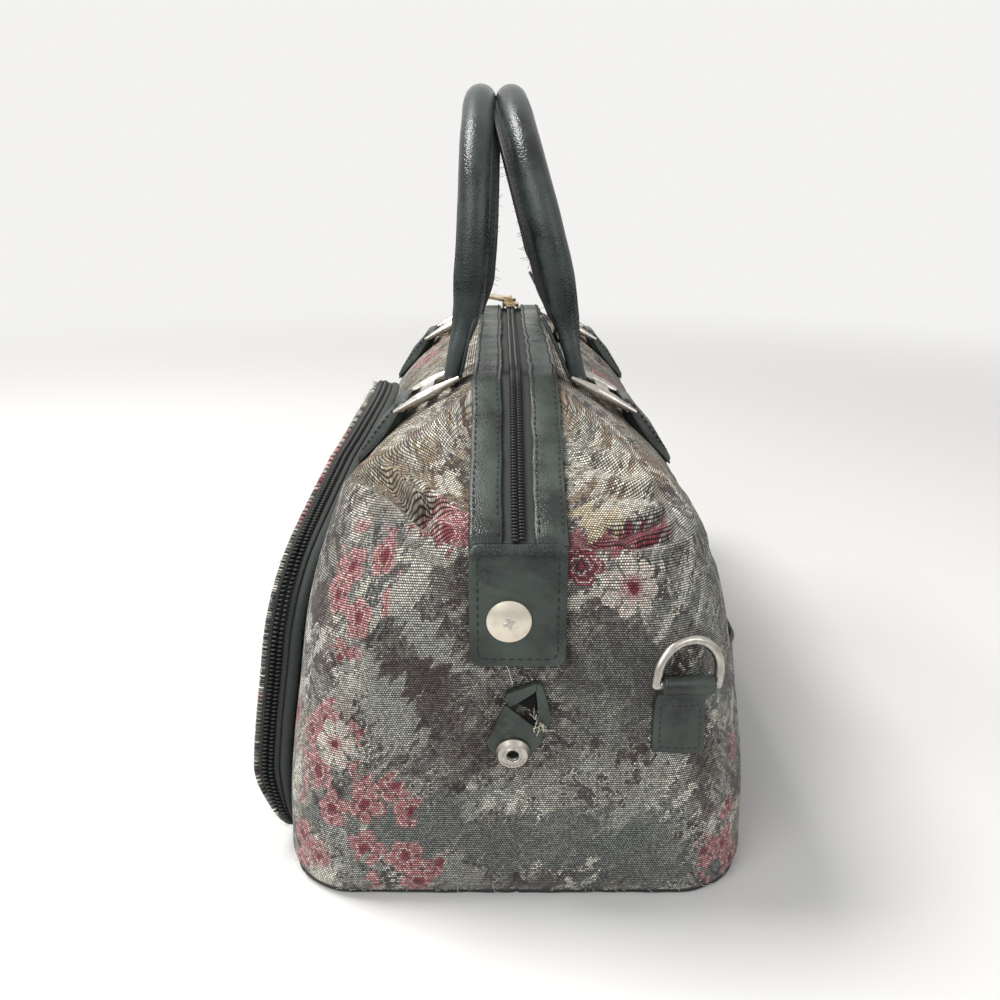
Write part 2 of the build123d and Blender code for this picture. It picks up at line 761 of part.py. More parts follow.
# Rear sleeve: a band sewn at its two ends, open above and below
with BuildPart() as sleeve_slot:
    with BuildSketch(Plane.XZ):
        with Locations((0, sleeve_top / 2)):
            Rectangle(sleeve_length - 2 * sleeve_hem, 2 * sleeve_top)
    extrude(amount=-body_width)
    add(body_form(sleeve_gap), mode=Mode.INTERSECT)
with BuildPart() as rear_sleeve:
    with BuildSketch(Plane.XZ):
        with Locations((0, (sleeve_bottom + sleeve_top) / 2)):
            Rectangle(sleeve_length, sleeve_top - sleeve_bottom)
    extrude(amount=-body_width)
    add(body_form(sleeve_gap + sleeve_thickness), mode=Mode.INTERSECT)
    add(body_seat, mode=Mode.SUBTRACT)
    add(sleeve_slot.part, mode=Mode.SUBTRACT)
save(rear_sleeve.part, "rear_sleeve")
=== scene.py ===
import math
import random

import bpy
import numpy as np
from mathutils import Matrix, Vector, noise


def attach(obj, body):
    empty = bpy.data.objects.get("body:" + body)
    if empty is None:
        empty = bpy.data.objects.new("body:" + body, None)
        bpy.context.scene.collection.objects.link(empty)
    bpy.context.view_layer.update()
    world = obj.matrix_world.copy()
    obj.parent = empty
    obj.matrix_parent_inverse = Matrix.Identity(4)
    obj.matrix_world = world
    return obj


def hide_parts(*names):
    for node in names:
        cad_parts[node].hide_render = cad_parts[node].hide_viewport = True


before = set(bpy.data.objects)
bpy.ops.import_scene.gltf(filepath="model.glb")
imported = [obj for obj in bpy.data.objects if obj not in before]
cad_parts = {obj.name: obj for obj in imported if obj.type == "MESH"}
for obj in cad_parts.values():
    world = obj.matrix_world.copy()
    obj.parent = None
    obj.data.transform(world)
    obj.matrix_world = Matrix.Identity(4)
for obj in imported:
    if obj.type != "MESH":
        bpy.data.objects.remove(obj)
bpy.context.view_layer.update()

mm = 0.001  # lengths below are in millimetres until a mesh is made
print("frame loaded:", len(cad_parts), "nodes")

# Mesh helpers


def softNoise(points, size, seed=0.0):
    shift = Vector((seed * 7.13, seed * 3.71, seed * 5.37))
    return np.array([noise.noise(Vector(p) / size + shift) for p in points])


def smoothStep(low, high, value):
    t = np.clip((np.asarray(value, float) - low) / (high - low), 0, 1)
    return t * t * (3 - 2 * t)


def gridFaces(rows, columns, wrap=False):
    last = columns if wrap else columns - 1
    r, c = np.meshgrid(np.arange(rows - 1), np.arange(last), indexing="ij")
    n = (c + 1) % columns
    return np.stack([r * columns + c, r * columns + n, (r + 1) * columns + n, (r + 1) * columns + c], -1).reshape(-1, 4)


def makePiece(name, verts, faces, material, body="bag", slot=None, replaces=(), flat=None, smooth=True):
    mesh = bpy.data.meshes.new(name)
    mesh.from_pydata([tuple(v) for v in np.asarray(verts) * mm], [], [tuple(int(i) for i in f) for f in faces])
    mesh.validate()
    mesh.polygons.foreach_set("use_smooth", [smooth] * len(mesh.polygons))
    if flat is not None:  # where each point lay on the cut cloth
        layer = mesh.attributes.new("clothFlat", "FLOAT_VECTOR", "POINT")
        layer.data.foreach_set("vector", np.asarray(flat, np.float32).ravel())
    mesh.materials.append(material)
    piece = bpy.data.objects.new(name, mesh)
    bpy.context.scene.collection.objects.link(piece)
    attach(piece, body)
    if replaces:
        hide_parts(*replaces)
    return piece


def joinParts(parts):
    verts, faces, start = [], [], 0
    for v, f in parts:
        verts.append(np.asarray(v, float))
        faces.extend([tuple(i + start for i in face) for face in f])
        start += len(v)
    return np.concatenate(verts), faces


def pathFrames(path, side):
    path = np.asarray(path, float)
    tangent = np.gradient(path, axis=0)
    tangent /= np.linalg.norm(tangent, axis=1)[:, None]
    side = np.broadcast_to(np.asarray(side, float), path.shape)
    up = np.cross(side, tangent)
    up /= np.linalg.norm(up, axis=1)[:, None]
    across = np.cross(tangent, up)
    return tangent, across, up


def sweepProfile(path, side, profile, closed=False):
    # profile: one list of (across, up) for all stations, or one list for each station
    path = np.asarray(path, float)
    _, across, up = pathFrames(path, side)
    profile = np.asarray(profile, float)
    if profile.ndim == 2:
        profile = np.broadcast_to(profile, (len(path),) + profile.shape)
    verts = path[:, None] + across[:, None] * profile[..., :1] + up[:, None] * profile[..., 1:]
    count = profile.shape[1]
    faces = [tuple(f) for f in gridFaces(len(path), count, wrap=True)]
    if closed:
        base = (len(path) - 1) * count
        faces += [(base + i, base + (i + 1) % count, (i + 1) % count, i) for i in range(count)]
    else:
        faces.append(tuple(range(count))[::-1])
        faces.append(tuple((len(path) - 1) * count + i for i in range(count)))
    return verts.reshape(-1, 3), faces


def roundProfile(halfWidth, halfHeight, corner=0.5, count=5):
    # rounded rectangle around (0, 0)
    points = []
    r = min(halfWidth, halfHeight) * corner
    for turn, cx, cy in ((0, 1, 1), (90, -1, 1), (180, -1, -1), (270, 1, -1)):
        for k in range(count):
            a = math.radians(turn + 90 * k / (count - 1))
            points.append((cx * (halfWidth - r) + r * math.cos(a), cy * (halfHeight - r) + r * math.sin(a)))
    return np.array(points)


def ringProfile(radius, count, tall=1.0, lift=0.0):
    turns = np.linspace(0, 2 * math.pi, count + 1)[:-1]
    return np.stack([radius * np.cos(turns), tall * radius * np.sin(turns) + lift], -1)


def blobs(centres, axes, sizes, rings=5, sides=8):
    # many small rounded bodies: axes holds three directions for each centre, sizes three half sizes
    theta = np.linspace(0, math.pi, rings + 1)[1:-1]
    phi = np.linspace(0, 2 * math.pi, sides, endpoint=False)
    unit = [(0, 0, 1)]
    unit += [(math.sin(t) * math.cos(p), math.sin(t) * math.sin(p), math.cos(t)) for t in theta for p in phi]
    unit.append((0, 0, -1))
    unit = np.array(unit)
    faces = [(0, 1 + i, 1 + (i + 1) % sides) for i in range(sides)]
    for row in range(len(theta) - 1):
        a = 1 + row * sides
        faces += [(a + i, a + sides + i, a + sides + (i + 1) % sides, a + (i + 1) % sides) for i in range(sides)]
    tail = 1 + (len(theta) - 1) * sides
    faces += [(len(unit) - 1, tail + (i + 1) % sides, tail + i) for i in range(sides)]
    centres, axes, sizes = (np.asarray(x, float) for x in (centres, axes, sizes))
    scaled = unit[None] * np.broadcast_to(sizes, (len(centres), 3))[:, None]
    verts = centres[:, None] + np.einsum("nki,nij->nkj", scaled, axes)
    every = [tuple(i + n * len(unit) for i in f) for n in range(len(centres)) for f in faces]
    return verts.reshape(-1, 3), every


def evenPath(path, pitch):
    # points and directions at an even pitch along a path
    path = np.asarray(path, float)
    run = np.concatenate([[0], np.cumsum(np.linalg.norm(np.diff(path, axis=0), axis=1))])
    marks = np.arange(pitch / 2, run[-1], pitch)
    points = np.stack([np.interp(marks, run, path[:, k]) for k in range(3)], -1)
    ahead = np.stack([np.interp(marks + pitch * 0.05, run, path[:, k]) for k in range(3)], -1)
    behind = np.stack([np.interp(marks - pitch * 0.05, run, path[:, k]) for k in range(3)], -1)
    along = ahead - behind
    return points, along / np.linalg.norm(along, axis=1)[:, None]


def stitchRow(path, out, pitch=3.0, length=2.1, width=0.42):
    points, along = evenPath(path, pitch)
    out = np.broadcast_to(np.asarray(out, float), points.shape)
    across = np.cross(along, out)
    across /= np.linalg.norm(across, axis=1)[:, None]
    rise = np.cross(across, along)
    return blobs(points, np.stack([across, rise, along], 1), (width, width * 0.8, length / 2), rings=4, sides=6)


def threads(starts, directions, seed, length=(3, 8), radius=0.11, curl=0.5, steps=6):
    # loose thread ends: thin three-sided tubes that wander off their starts
    draw = random.Random(seed)
    parts = []
    for start, direction in zip(starts, directions):
        reach = draw.uniform(*length)
        point, heading = np.array(start, float), np.array(direction, float)
        path = [point.copy()]
        for _ in range(steps):
            heading = heading + np.array([draw.uniform(-curl, curl) for _ in range(3)])
            heading /= np.linalg.norm(heading)
            point = point + heading * reach / steps
            path.append(point.copy())
        ring = [(radius * math.cos(a), radius * math.sin(a)) for a in (0, 2.1, 4.2)]
        side = np.cross(path[-1] - path[0], (0.31, 0.52, 0.79))
        parts.append(sweepProfile(path, side / np.linalg.norm(side), ring))
    return joinParts(parts)


def padShape(outline, scales, heights):
    # rings of an outline that shrink towards its middle while they rise, closed at the top and below
    outline = np.asarray(outline, float)
    middle = outline.mean(0)
    rings = [np.c_[middle + (outline - middle) * s, np.full(len(outline), h)] for s, h in zip(scales, heights)]
    count = len(outline)
    verts = np.concatenate(rings + [[[middle[0], middle[1], heights[-1]]], [[middle[0], middle[1], heights[0]]]])
    faces = [tuple(f) for f in gridFaces(len(rings), count, wrap=True)]
    top = len(rings) * count
    faces += [(top - count + i, top - count + (i + 1) % count, top) for i in range(count)]
    faces += [((i + 1) % count, i, top + 1) for i in range(count)]
    return verts, faces


def roundOutline(corners, radius, count=6):
    # closed polygon with each corner rounded off
    corners = [np.array(c, float) for c in corners]
    points = []
    for k, here in enumerate(corners):
        before, after = corners[k - 1], corners[(k + 1) % len(corners)]
        toBefore = (before - here) / np.linalg.norm(before - here)
        toAfter = (after - here) / np.linalg.norm(after - here)
        reach = min(radius, 0.45 * np.linalg.norm(before - here), 0.45 * np.linalg.norm(after - here))
        start, end = here + toBefore * reach, here + toAfter * reach
        for t in np.linspace(0, 1, count):
            points.append((1 - t) ** 2 * start + 2 * t * (1 - t) * here + t * t * end)
    return densify(points, 1.6)


def densify(points, step):
    dense = []
    for k, here in enumerate(points):
        after = points[(k + 1) % len(points)]
        count = max(1, int(round(np.linalg.norm(after - here) / step)))
        dense += [here + (after - here) * i / count for i in range(count)]
    return np.array(dense)


# Shader helpers and shared node groups


class NodeDesk:
    # places nodes in a tree and links them in one call

    def __init__(self, tree):
        self.tree = tree

    def add(self, kind, inputs=None, **values):
        node = self.tree.nodes.new(kind)
        for key, value in values.items():
            setattr(node, key, value)
        for key, value in (inputs or {}).items():
            self.put(node.inputs[key], value)
        return node

    def put(self, socket, value):
        if isinstance(value, bpy.types.NodeSocket):
            self.tree.links.new(value, socket)
        else:
            socket.default_value = value

    def math(self, operation, a, b=0.0, c=0.0):
        return self.add("ShaderNodeMath", {0: a, 1: b, 2: c}, operation=operation).outputs[0]

    def times(self, a, b):
        return self.math("MULTIPLY", a, b)

    def vector(self, operation, a, b=(0, 0, 0)):
        node = self.add("ShaderNodeVectorMath", {0: a}, operation=operation)
        self.put(node.inputs["Scale" if operation == "SCALE" else 1], b)
        return node.outputs["Value" if operation in ("LENGTH", "DISTANCE") else "Vector"]

    def blend(self, share, a, b, mode="MIX"):
        node = self.add("ShaderNodeMix", data_type="RGBA", blend_type=mode)
        self.put(node.inputs["Factor"], share)
        for key, value in (("A", a), ("B", b)):
            self.put([s for s in node.inputs if s.name == key and s.type == "RGBA"][0], value)
        return [s for s in node.outputs if s.type == "RGBA"][0]

    def step(self, low, high, value, toLow=0.0, toHigh=1.0):
        return self.add("ShaderNodeMapRange", {"Value": value, "From Min": low, "From Max": high, "To Min": toLow,
                                               "To Max": toHigh}, interpolation_type="SMOOTHSTEP").outputs[0]

    def noise(self, vector, scale, detail=2.0):
        return self.add("ShaderNodeTexNoise", {"Vector": vector, "Scale": scale, "Detail": detail})

    def rotate(self, vector, angle):
        return self.add("ShaderNodeVectorRotate", {"Vector": vector, "Angle": angle}, rotation_type="Z_AXIS").outputs[0]

    def place(self):
        # place on the piece, in millimetres
        return self.vector("SCALE", self.add("ShaderNodeTexCoord").outputs["Object"], 1000.0)

    def combine(self, x, y, z=0.0):
        return self.add("ShaderNodeCombineXYZ", {0: x, 1: y, 2: z}).outputs[0]


def newGroup(name, inputs, outputs):
    tree = bpy.data.node_groups.new(name, "ShaderNodeTree")
    kinds = {"value": "NodeSocketFloat", "vector": "NodeSocketVector", "colour": "NodeSocketColor"}
    for key, kind, start in inputs:
        socket = tree.interface.new_socket(key, in_out="INPUT", socket_type=kinds[kind])
        if start is not None:
            socket.default_value = start
    for key, kind in outputs:
        tree.interface.new_socket(key, in_out="OUTPUT", socket_type=kinds[kind])
    desk = NodeDesk(tree)
    return desk, desk.add("NodeGroupInput").outputs, desk.add("NodeGroupOutput").inputs


def linear(r, g, b):
    return tuple((v / 255 / 12.92 if v < 11 else ((v / 255 + 0.055) / 1.055) ** 2.4) for v in (r, g, b)) + (1.0,)


def buildThreadDots():
    # rows of coloured thread floats on a dark ground, one dot for each crossing
    desk, given, out = newGroup(
        "threadDots",
        [("Flat", "vector", None), ("Across", "value", 0.9), ("Along", "value", 0.84)],
        [("Cell", "vector"), ("Dot", "value"), ("Random", "value")],
    )
    split = desk.add("ShaderNodeSeparateXYZ", {0: given["Flat"]}).outputs
    row = desk.math("DIVIDE", split[1], given["Along"])
    rowIndex = desk.math("FLOOR", row)
    column = desk.math("ADD", desk.math("DIVIDE", split[0], given["Across"]), desk.times(rowIndex, 0.5))
    columnIndex = desk.math("FLOOR", column)
    dx = desk.math("SUBTRACT", desk.math("FRACT", column), 0.5)
    dy = desk.math("SUBTRACT", desk.math("FRACT", row), 0.5)
    reach = desk.vector("LENGTH", desk.combine(dx, desk.times(dy, 1.15)))
    desk.put(out["Dot"], desk.step(0.58, 0.24, reach))
    desk.put(out["Cell"], desk.combine(
        desk.times(desk.math("SUBTRACT", columnIndex, desk.times(rowIndex, 0.5)), given["Across"]),
        desk.times(rowIndex, given["Along"]),
    ))
    dice = desk.add("ShaderNodeTexWhiteNoise", {"Vector": desk.combine(columnIndex, rowIndex)}, noise_dimensions="2D")
    desk.put(out["Random"], dice.outputs["Value"])
    return desk.tree


petalColours = [(key, "colour", None) for key in ("Eye", "Petal", "Tip", "Lip", "Rim")]


def petalLobe(desk, angle, petals):
    return desk.math("ABSOLUTE", desk.math("COSINE", desk.times(angle, desk.times(petals, 0.5))))


def drawPetals(desk, given, reach, lobe, paler):
    # a rose from the middle outwards: core, folded petals with pale lips, dark gaps and a rim
    body = desk.blend(desk.step(0.06, 0.34, reach), given["Tip"], given["Petal"])
    body = desk.blend(desk.times(paler, 0.45), body, given["Petal"])
    for lip in (0.21, 0.4):
        near = desk.step(0.045, 0.012, desk.math("ABSOLUTE", desk.math("SUBTRACT", reach, lip)))
        body = desk.blend(desk.times(near, 0.75), body, given["Lip"])
    gap = desk.times(desk.step(0.32, 0.12, lobe), desk.step(0.16, 0.3, reach))
    body = desk.blend(desk.times(gap, 0.7), body, given["Rim"])
    return desk.blend(desk.step(0.11, 0.07, reach), body, given["Eye"])


def buildBloom():
    # roses scattered one to a cell
    desk, given, out = newGroup(
        "bloom",
        [("Flat", "vector", None), ("Size", "value", 15.0), ("Petals", "value", 5.0)] + petalColours,
        [("Color", "colour"), ("Mask", "value"), ("Random", "value")],
    )
    spot = desk.vector("SCALE", given["Flat"], desk.math("DIVIDE", 1.0, given["Size"]))
    cells = desk.add("ShaderNodeTexVoronoi", {"Vector": spot, "Scale": 1.0, "Randomness": 0.7}, voronoi_dimensions="2D")
    rel = desk.add("ShaderNodeSeparateXYZ", {0: desk.vector("SUBTRACT", spot, cells.outputs["Position"])}).outputs
    dice = desk.add("ShaderNodeSeparateColor", {0: cells.outputs["Color"]}).outputs
    angle = desk.math("ADD", desk.math("ARCTAN2", rel[1], rel[0]), desk.times(dice[1], 6.28))
    lobe = petalLobe(desk, angle, given["Petals"])
    reach = desk.math("DIVIDE", cells.outputs["Distance"], desk.math("MULTIPLY_ADD", lobe, 0.26, 0.78))
    desk.put(out["Color"], drawPetals(desk, given, reach, lobe, dice[2]))
    desk.put(out["Mask"], desk.step(0.5, 0.46, reach))
    desk.put(out["Random"], dice[0])
    return desk.tree


def buildPosy():
    # one larger flower at a chosen place
    desk, given, out = newGroup(
        "posy",
        [("Flat", "vector", None), ("Place", "vector", None), ("Size", "value", 20.0), ("Petals", "value", 6.0)]
        + petalColours,
        [("Color", "colour"), ("Mask", "value")],
    )
    away = desk.vector("SUBTRACT", given["Flat"], given["Place"])
    away = desk.vector("SCALE", away, desk.math("DIVIDE", 1.0, given["Size"]))
    rel = desk.add("ShaderNodeSeparateXYZ", {0: away}).outputs
    angle = desk.math("ARCTAN2", rel[1], rel[0])
    lobe = petalLobe(desk, angle, given["Petals"])
    reach = desk.math("DIVIDE", desk.vector("LENGTH", away), desk.math("MULTIPLY_ADD", lobe, 0.32, 0.7))
    desk.put(out["Color"], drawPetals(desk, given, reach, lobe, 0.3))
    desk.put(out["Mask"], desk.step(0.5, 0.47, reach))
    return desk.tree


def buildLeafDrift():
    # long leaves in one direction, one to a stretched cell, with a pale rib
    desk, given, out = newGroup(
        "leafDrift",
        [("Flat", "vector", None), ("Size", "value", 30.0), ("Turn", "value", 0.6), ("Slim", "value", 0.4)],
        [("Mask", "value"), ("Rib", "value"), ("Random", "value")],
    )
    turned = desk.rotate(given["Flat"], given["Turn"])
    stretch = desk.combine(desk.math("DIVIDE", 1.0, desk.times(given["Size"], given["Slim"])),
                           desk.math("DIVIDE", 1.0, given["Size"]))
    spot = desk.vector("MULTIPLY", turned, stretch)
    cells = desk.add("ShaderNodeTexVoronoi", {"Vector": spot, "Scale": 1.0, "Randomness": 0.9}, voronoi_dimensions="2D")
    rel = desk.add("ShaderNodeSeparateXYZ", {0: desk.vector("SUBTRACT", spot, cells.outputs["Position"])}).outputs
    across = desk.math("ABSOLUTE", rel[0])
    taper = desk.math("SUBTRACT", 0.34, desk.times(desk.times(rel[1], rel[1]), 1.1))
    desk.put(out["Mask"], desk.step(-0.03, 0.02, desk.math("SUBTRACT", taper, across)))
    desk.put(out["Rib"], desk.step(0.07, 0.03, across))
    desk.put(out["Random"], desk.add("ShaderNodeSeparateColor", {0: cells.outputs["Color"]}).outputs[0])
    return desk.tree


def buildHideGrain():
    # leather: pores, slow colour drift that is partly the hide's own tone and partly painted sheen and shade, and
    # rubbed patches
    desk, given, out = newGroup(
        "hideGrain",
        [("Place", "vector", None), ("Pore", "value", 0.9), ("Rub", "value", 0.5)],
        [("Height", "value"), ("ToneSheenShade", "value"), ("Rubbed", "value")],
    )
    place = desk.vector("SCALE", given["Place"], 1000.0)
    cells = desk.vector("SCALE", place, desk.math("DIVIDE", 1.0, given["Pore"]))
    pores = desk.add("ShaderNodeTexVoronoi", {"Vector": cells, "Scale": 1.0}, feature="DISTANCE_TO_EDGE")
    fine = desk.noise(place, 0.5, 3.0).outputs[0]
    pits = desk.step(0.0, 0.25, pores.outputs["Distance"])
    desk.put(out["Height"], desk.math("ADD", pits, desk.times(fine, 1.6)))
    desk.put(out["ToneSheenShade"], desk.noise(place, 0.06, 3.0).outputs[0])
    rub = desk.noise(place, 0.16, 6.0).outputs[0]
    desk.put(out["Rubbed"], desk.times(desk.step(0.55, 0.72, rub), given["Rub"]))
    return desk.tree


groups = {
    "threadDots": buildThreadDots(),
    "bloom": buildBloom(),
    "posy": buildPosy(),
    "leafDrift": buildLeafDrift(),
    "hideGrain": buildHideGrain(),
}


def useGroup(desk, name, inputs):
    node = desk.add("ShaderNodeGroup", node_tree=groups[name])
    for key, value in inputs.items():
        desk.put(node.inputs[key], value)
    return node.outputs


def newMaterial(name):
    material = bpy.data.materials.new(name)
    material.use_nodes = True
    desk = NodeDesk(material.node_tree)
    shader = [n for n in material.node_tree.nodes if n.type == "BSDF_PRINCIPLED"][0]
    return material, desk, shader


def bumpInto(desk, shader, height, strength, distance):
    bump = desk.add("ShaderNodeBump", {"Height": height, "Strength": strength, "Distance": distance})
    desk.put(shader.inputs["Normal"], bump.outputs[0])


# Finishes

tapestryLook = {
    "ground": [linear(104, 93, 91), linear(144, 139, 130), linear(168, 166, 156), linear(130, 134, 130)],
    # lighter, warmer ground on the roof: painted light falling on the top, over the roof cloth's own ground
    "roofGroundAndLight": linear(170, 148, 118),
    "leaf": [linear(120, 125, 121), linear(190, 191, 180), linear(236, 234, 222)],
    "darkThread": linear(21, 20, 20),
    "umber": linear(76, 62, 64),
    "rose": linear(198, 136, 137), "crimson": linear(142, 62, 74), "lip": linear(236, 208, 200),
    "cream": linear(240, 236, 222), "straw": linear(214, 198, 164),
    # fields on the near end: across, height, half sizes, turn in degrees, colour name, strength
    "fields": [
        (-24, 76, 30, 26, 20, "umber", 0.5), (24, 98, 26, 16, -10, "umber", 0.55), (2, 62, 22, 16, 0, "umber", 0.5),
        (-34, 108, 26, 24, 30, "umber", 0.45), (36, 84, 20, 22, 10, "slate", 0.5),
        (-38, 124, 24, 6, 38, "cream", 0.6), (-30, 104, 22, 5, -42, "leafPale", 0.8),
        (-46, 80, 9, 22, 24, "leafPale", 0.75),
        (-34, 30, 22, 12, 18, "slate", 0.85), (14, 26, 34, 13, 8, "slate", 0.85), (46, 20, 20, 14, -30, "slate", 0.8),
        (-4, 46, 20, 5, 24, "leafPale", 0.5), (44, 44, 20, 5, 48, "leafPale", 0.6),
        (60, 74, 7, 22, -20, "leafPale", 0.6),
        (-77, 12, 7, 16, 24, "cream", 0.85), (-66, 80, 6, 12, -30, "cream", 0.5), (30, 142, 26, 6, 6, "crimson", 0.8),
        (-28, 146, 14, 9, -16, "crimson", 0.8), (38, 160, 22, 6, 34, "cream", 0.75),
        (-40, 148, 12, 4, 10, "cream", 0.5),
        (34, 178, 16, 5, 60, "cream", 0.6), (26, 152, 9, 6, 10, "straw", 0.8),
    ],
    # clusters of small roses on the near end: across, height, half sizes, turn
    "clusters": [
        (-64, 121, 19, 27, 8), (-72, 60, 15, 18, -12), (-56, 36, 22, 15, 20), (-42, 14, 14, 13, 0), (80, 16, 12, 18, 0),
        (-28, 148, 13, 8, 0),
    ],
    # single flowers: across, height, size, petals, outer and inner colour
    "posies": [(38, 123, 24, 7, "cream", "rose"), (-69, 62, 20, 6, "cream", "rose"),
               (20, 131, 16, 5, "crimson", "umber")],
    "roof": (146, 162, 0.7),  # heights where the roof's lighter, warmer ground comes in, and its share; partly the roof cloth's own ground, partly painted light on the top
    # leaves: length, turn, slimness, tone, chance above which one is drawn
    "leaves": ((46, 0.7, 0.42, 0, 0.4), (34, -0.55, 0.4, 1, 0.6), (24, 1.25, 0.3, 2, 0.82)),
    # feathered strokes: turn, colour name, strength
    "strokes": ((-0.9, "umber", 0.8), (-0.6, "leafPale", 0.75), (0.75, "cream", 0.8)),
    "nearEnd": (0, 75, 92, 95, 0), "roseSize": 15.5, "threadDrift": (0.84, 0.72),
}


def makeTapestry():
    look = tapestryLook
    look["slate"], look["leafPale"] = look["leaf"][0], look["leaf"][1]
    material, desk, shader = newMaterial("wovenTapestry")
    flat = desk.add("ShaderNodeAttribute", attribute_name="clothFlat").outputs["Vector"]
    dots = useGroup(desk, "threadDots", {"Flat": flat})
    cell = dots["Cell"]

    def astray(start, scale, reach):
        push = desk.vector("SUBTRACT", desk.noise(start, scale, 3.0).outputs["Color"], (0.5, 0.5, 0.5))
        return desk.vector("ADD", cell, desk.vector("SCALE", push, reach))

    slanted = desk.rotate(cell, 0.7)
    ragged, softer = astray(desk.vector("MULTIPLY", slanted, (2.6, 0.7, 1.0)), 0.12, 26.0), astray(cell, 0.22, 3.5)
    ramp = desk.add("ShaderNodeValToRGB", {0: desk.noise(ragged, 0.02, 2.0).outputs[0]})
    stops = ramp.color_ramp.elements
    for stop, place, colour in zip(stops, (0.38, 0.47), look["ground"][:2]):
        stop.position, stop.color = place, colour
    for place, colour in zip((0.54, 0.62), look["ground"][2:]):
        stops.new(place).color = colour
    colour = ramp.outputs[0]
    up = desk.add("ShaderNodeSeparateXYZ", {0: ragged}).outputs[1]
    low, high, share = look["roof"]
    # roof ground: partly the cloth's own colour, partly painted light falling on the top
    colour = desk.blend(desk.step(low, high, up, 0.0, share), colour, look["roofGroundAndLight"])
    for size, turn, slim, tone, chance in look["leaves"]:
        leaf = useGroup(desk, "leafDrift", {"Flat": ragged, "Size": float(size), "Turn": turn, "Slim": slim})
        here = desk.times(leaf["Mask"], desk.math("GREATER_THAN", leaf["Random"], chance))
        rib = look["umber"] if tone else look["leafPale"]
        tint = desk.blend(desk.times(leaf["Rib"], 0.7), look["leaf"][tone], rib)
        colour = desk.blend(desk.times(here, 0.7), colour, tint)
    for turn, tone, amount in look["strokes"]:
        way = desk.rotate(softer, turn)
        strokes = desk.noise(desk.vector("MULTIPLY", way, (0.24, 0.045, 1.0)), 1.0, 2.0).outputs[0]
        patch = desk.step(0.47, 0.54, desk.noise(desk.vector("ADD", cell, (70 * turn, 31, 0)), 0.03, 1.0).outputs[0])
        drawn = desk.times(desk.step(0.53, 0.57, strokes), patch)
        colour = desk.blend(desk.times(drawn, amount), colour, look[tone])
    stem = desk.noise(ragged, 0.045, 1.0).outputs[0]
    line = desk.step(0.014, 0.005, desk.math("ABSOLUTE", desk.math("SUBTRACT", stem, 0.5)))
    colour = desk.blend(desk.times(line, 0.8), colour, look["umber"])

    def inside(across, height, halfWide, halfTall, turn):
        rel = desk.rotate(desk.vector("SUBTRACT", ragged, (across, height, 0)), -math.radians(turn))
        reach = desk.vector("LENGTH", desk.vector("MULTIPLY", rel, (1 / halfWide, 1 / halfTall, 0)))
        return desk.step(1.04, 0.92, reach)

    for *place, tone, strength in look["fields"]:
        colour = desk.blend(desk.times(inside(*place), strength), colour, look[tone])
    nearEnd = inside(*look["nearEnd"])
    drift = desk.step(0.57, 0.6, desk.noise(cell, 0.013, 1.0).outputs[0])
    cluster = desk.times(drift, desk.math("SUBTRACT", 1.0, nearEnd))
    for place in look["clusters"]:
        cluster = desk.math("MAXIMUM", cluster, inside(*place))
    trim = {"Eye": look["crimson"], "Lip": look["lip"], "Rim": look["umber"]}
    rose = useGroup(desk, "bloom", {"Flat": softer, "Size": look["roseSize"], "Petals": 5.0, "Petal": look["rose"],
                                    "Tip": look["crimson"], **trim})
    colour = desk.blend(desk.times(rose["Mask"], cluster), colour, rose["Color"])
    for across, height, size, petals, outer, inner in look["posies"]:
        posy = useGroup(desk, "posy", {"Flat": softer, "Place": (across, height, 0), "Size": float(size),
                                       "Petals": float(petals), "Petal": look[outer], "Tip": look[inner], **trim})
        colour = desk.blend(posy["Mask"], colour, posy["Color"])
    bright = desk.math("MULTIPLY_ADD", dots["Random"], *look["threadDrift"])
    thread = desk.blend(1.0, colour, desk.combine(bright, bright, bright), "MULTIPLY")
    desk.put(shader.inputs["Base Color"], desk.blend(dots["Dot"], look["darkThread"], thread))
    shader.inputs["Roughness"].default_value = 0.88
    shader.inputs["Specular IOR Level"].default_value = 0.25
    shader.inputs["Sheen Weight"].default_value = 0.12
    bumpInto(desk, shader, desk.math("ADD", dots["Dot"], desk.times(dots["Random"], 0.3)), 0.5, 0.0005)
    return material


def shade(base, share, lift=0.0):
    return tuple(min(1.0, c * share + lift) for c in base[:3]) + (1.0,)


def makeLeather(name, base, roughness, rub, pore=0.9):
    material, desk, shader = newMaterial(name)
    place = desk.add("ShaderNodeTexCoord").outputs["Object"]
    grain = useGroup(desk, "hideGrain", {"Place": place, "Pore": pore, "Rub": rub})
    drift = desk.step(0.3, 0.7, grain["ToneSheenShade"])
    # lit and shaded copies of the base colour along the slow drift: painted sheen and shade over the hide's own tone
    colour = desk.blend(drift, shade(base, 0.5), shade(base, 1.75, 0.004))
    colour = desk.blend(grain["Rubbed"], colour, shade(base, 2.4, 0.01))
    desk.put(shader.inputs["Base Color"], colour)
    desk.put(shader.inputs["Roughness"], desk.math("MULTIPLY_ADD", drift, 0.24, roughness - 0.14))
    shader.inputs["Specular IOR Level"].default_value = 0.45
    bumpInto(desk, shader, grain["Height"], 0.22, 0.0003)
    return material


def makeMetal(name, base, roughness, tarnish):
    material, desk, shader = newMaterial(name)
    place = desk.place()
    cloud = desk.noise(place, 0.35, 5.0).outputs[0]
    speck = desk.step(0.6, 0.72, desk.noise(place, 1.6, 4.0).outputs[0])
    dull = shade(base, 0.42)
    colour = desk.blend(desk.times(desk.step(0.42, 0.7, cloud), tarnish), base, dull)
    desk.put(shader.inputs["Base Color"], desk.blend(desk.times(speck, tarnish * 0.5), colour, dull))
    desk.put(shader.inputs["Roughness"], desk.math("MULTIPLY_ADD", cloud, 0.3, roughness - 0.12))
    shader.inputs["Metallic"].default_value = 1.0
    bumpInto(desk, shader, desk.noise(place, 2.2, 3.0).outputs[0], 0.06, 0.0002)
    return material


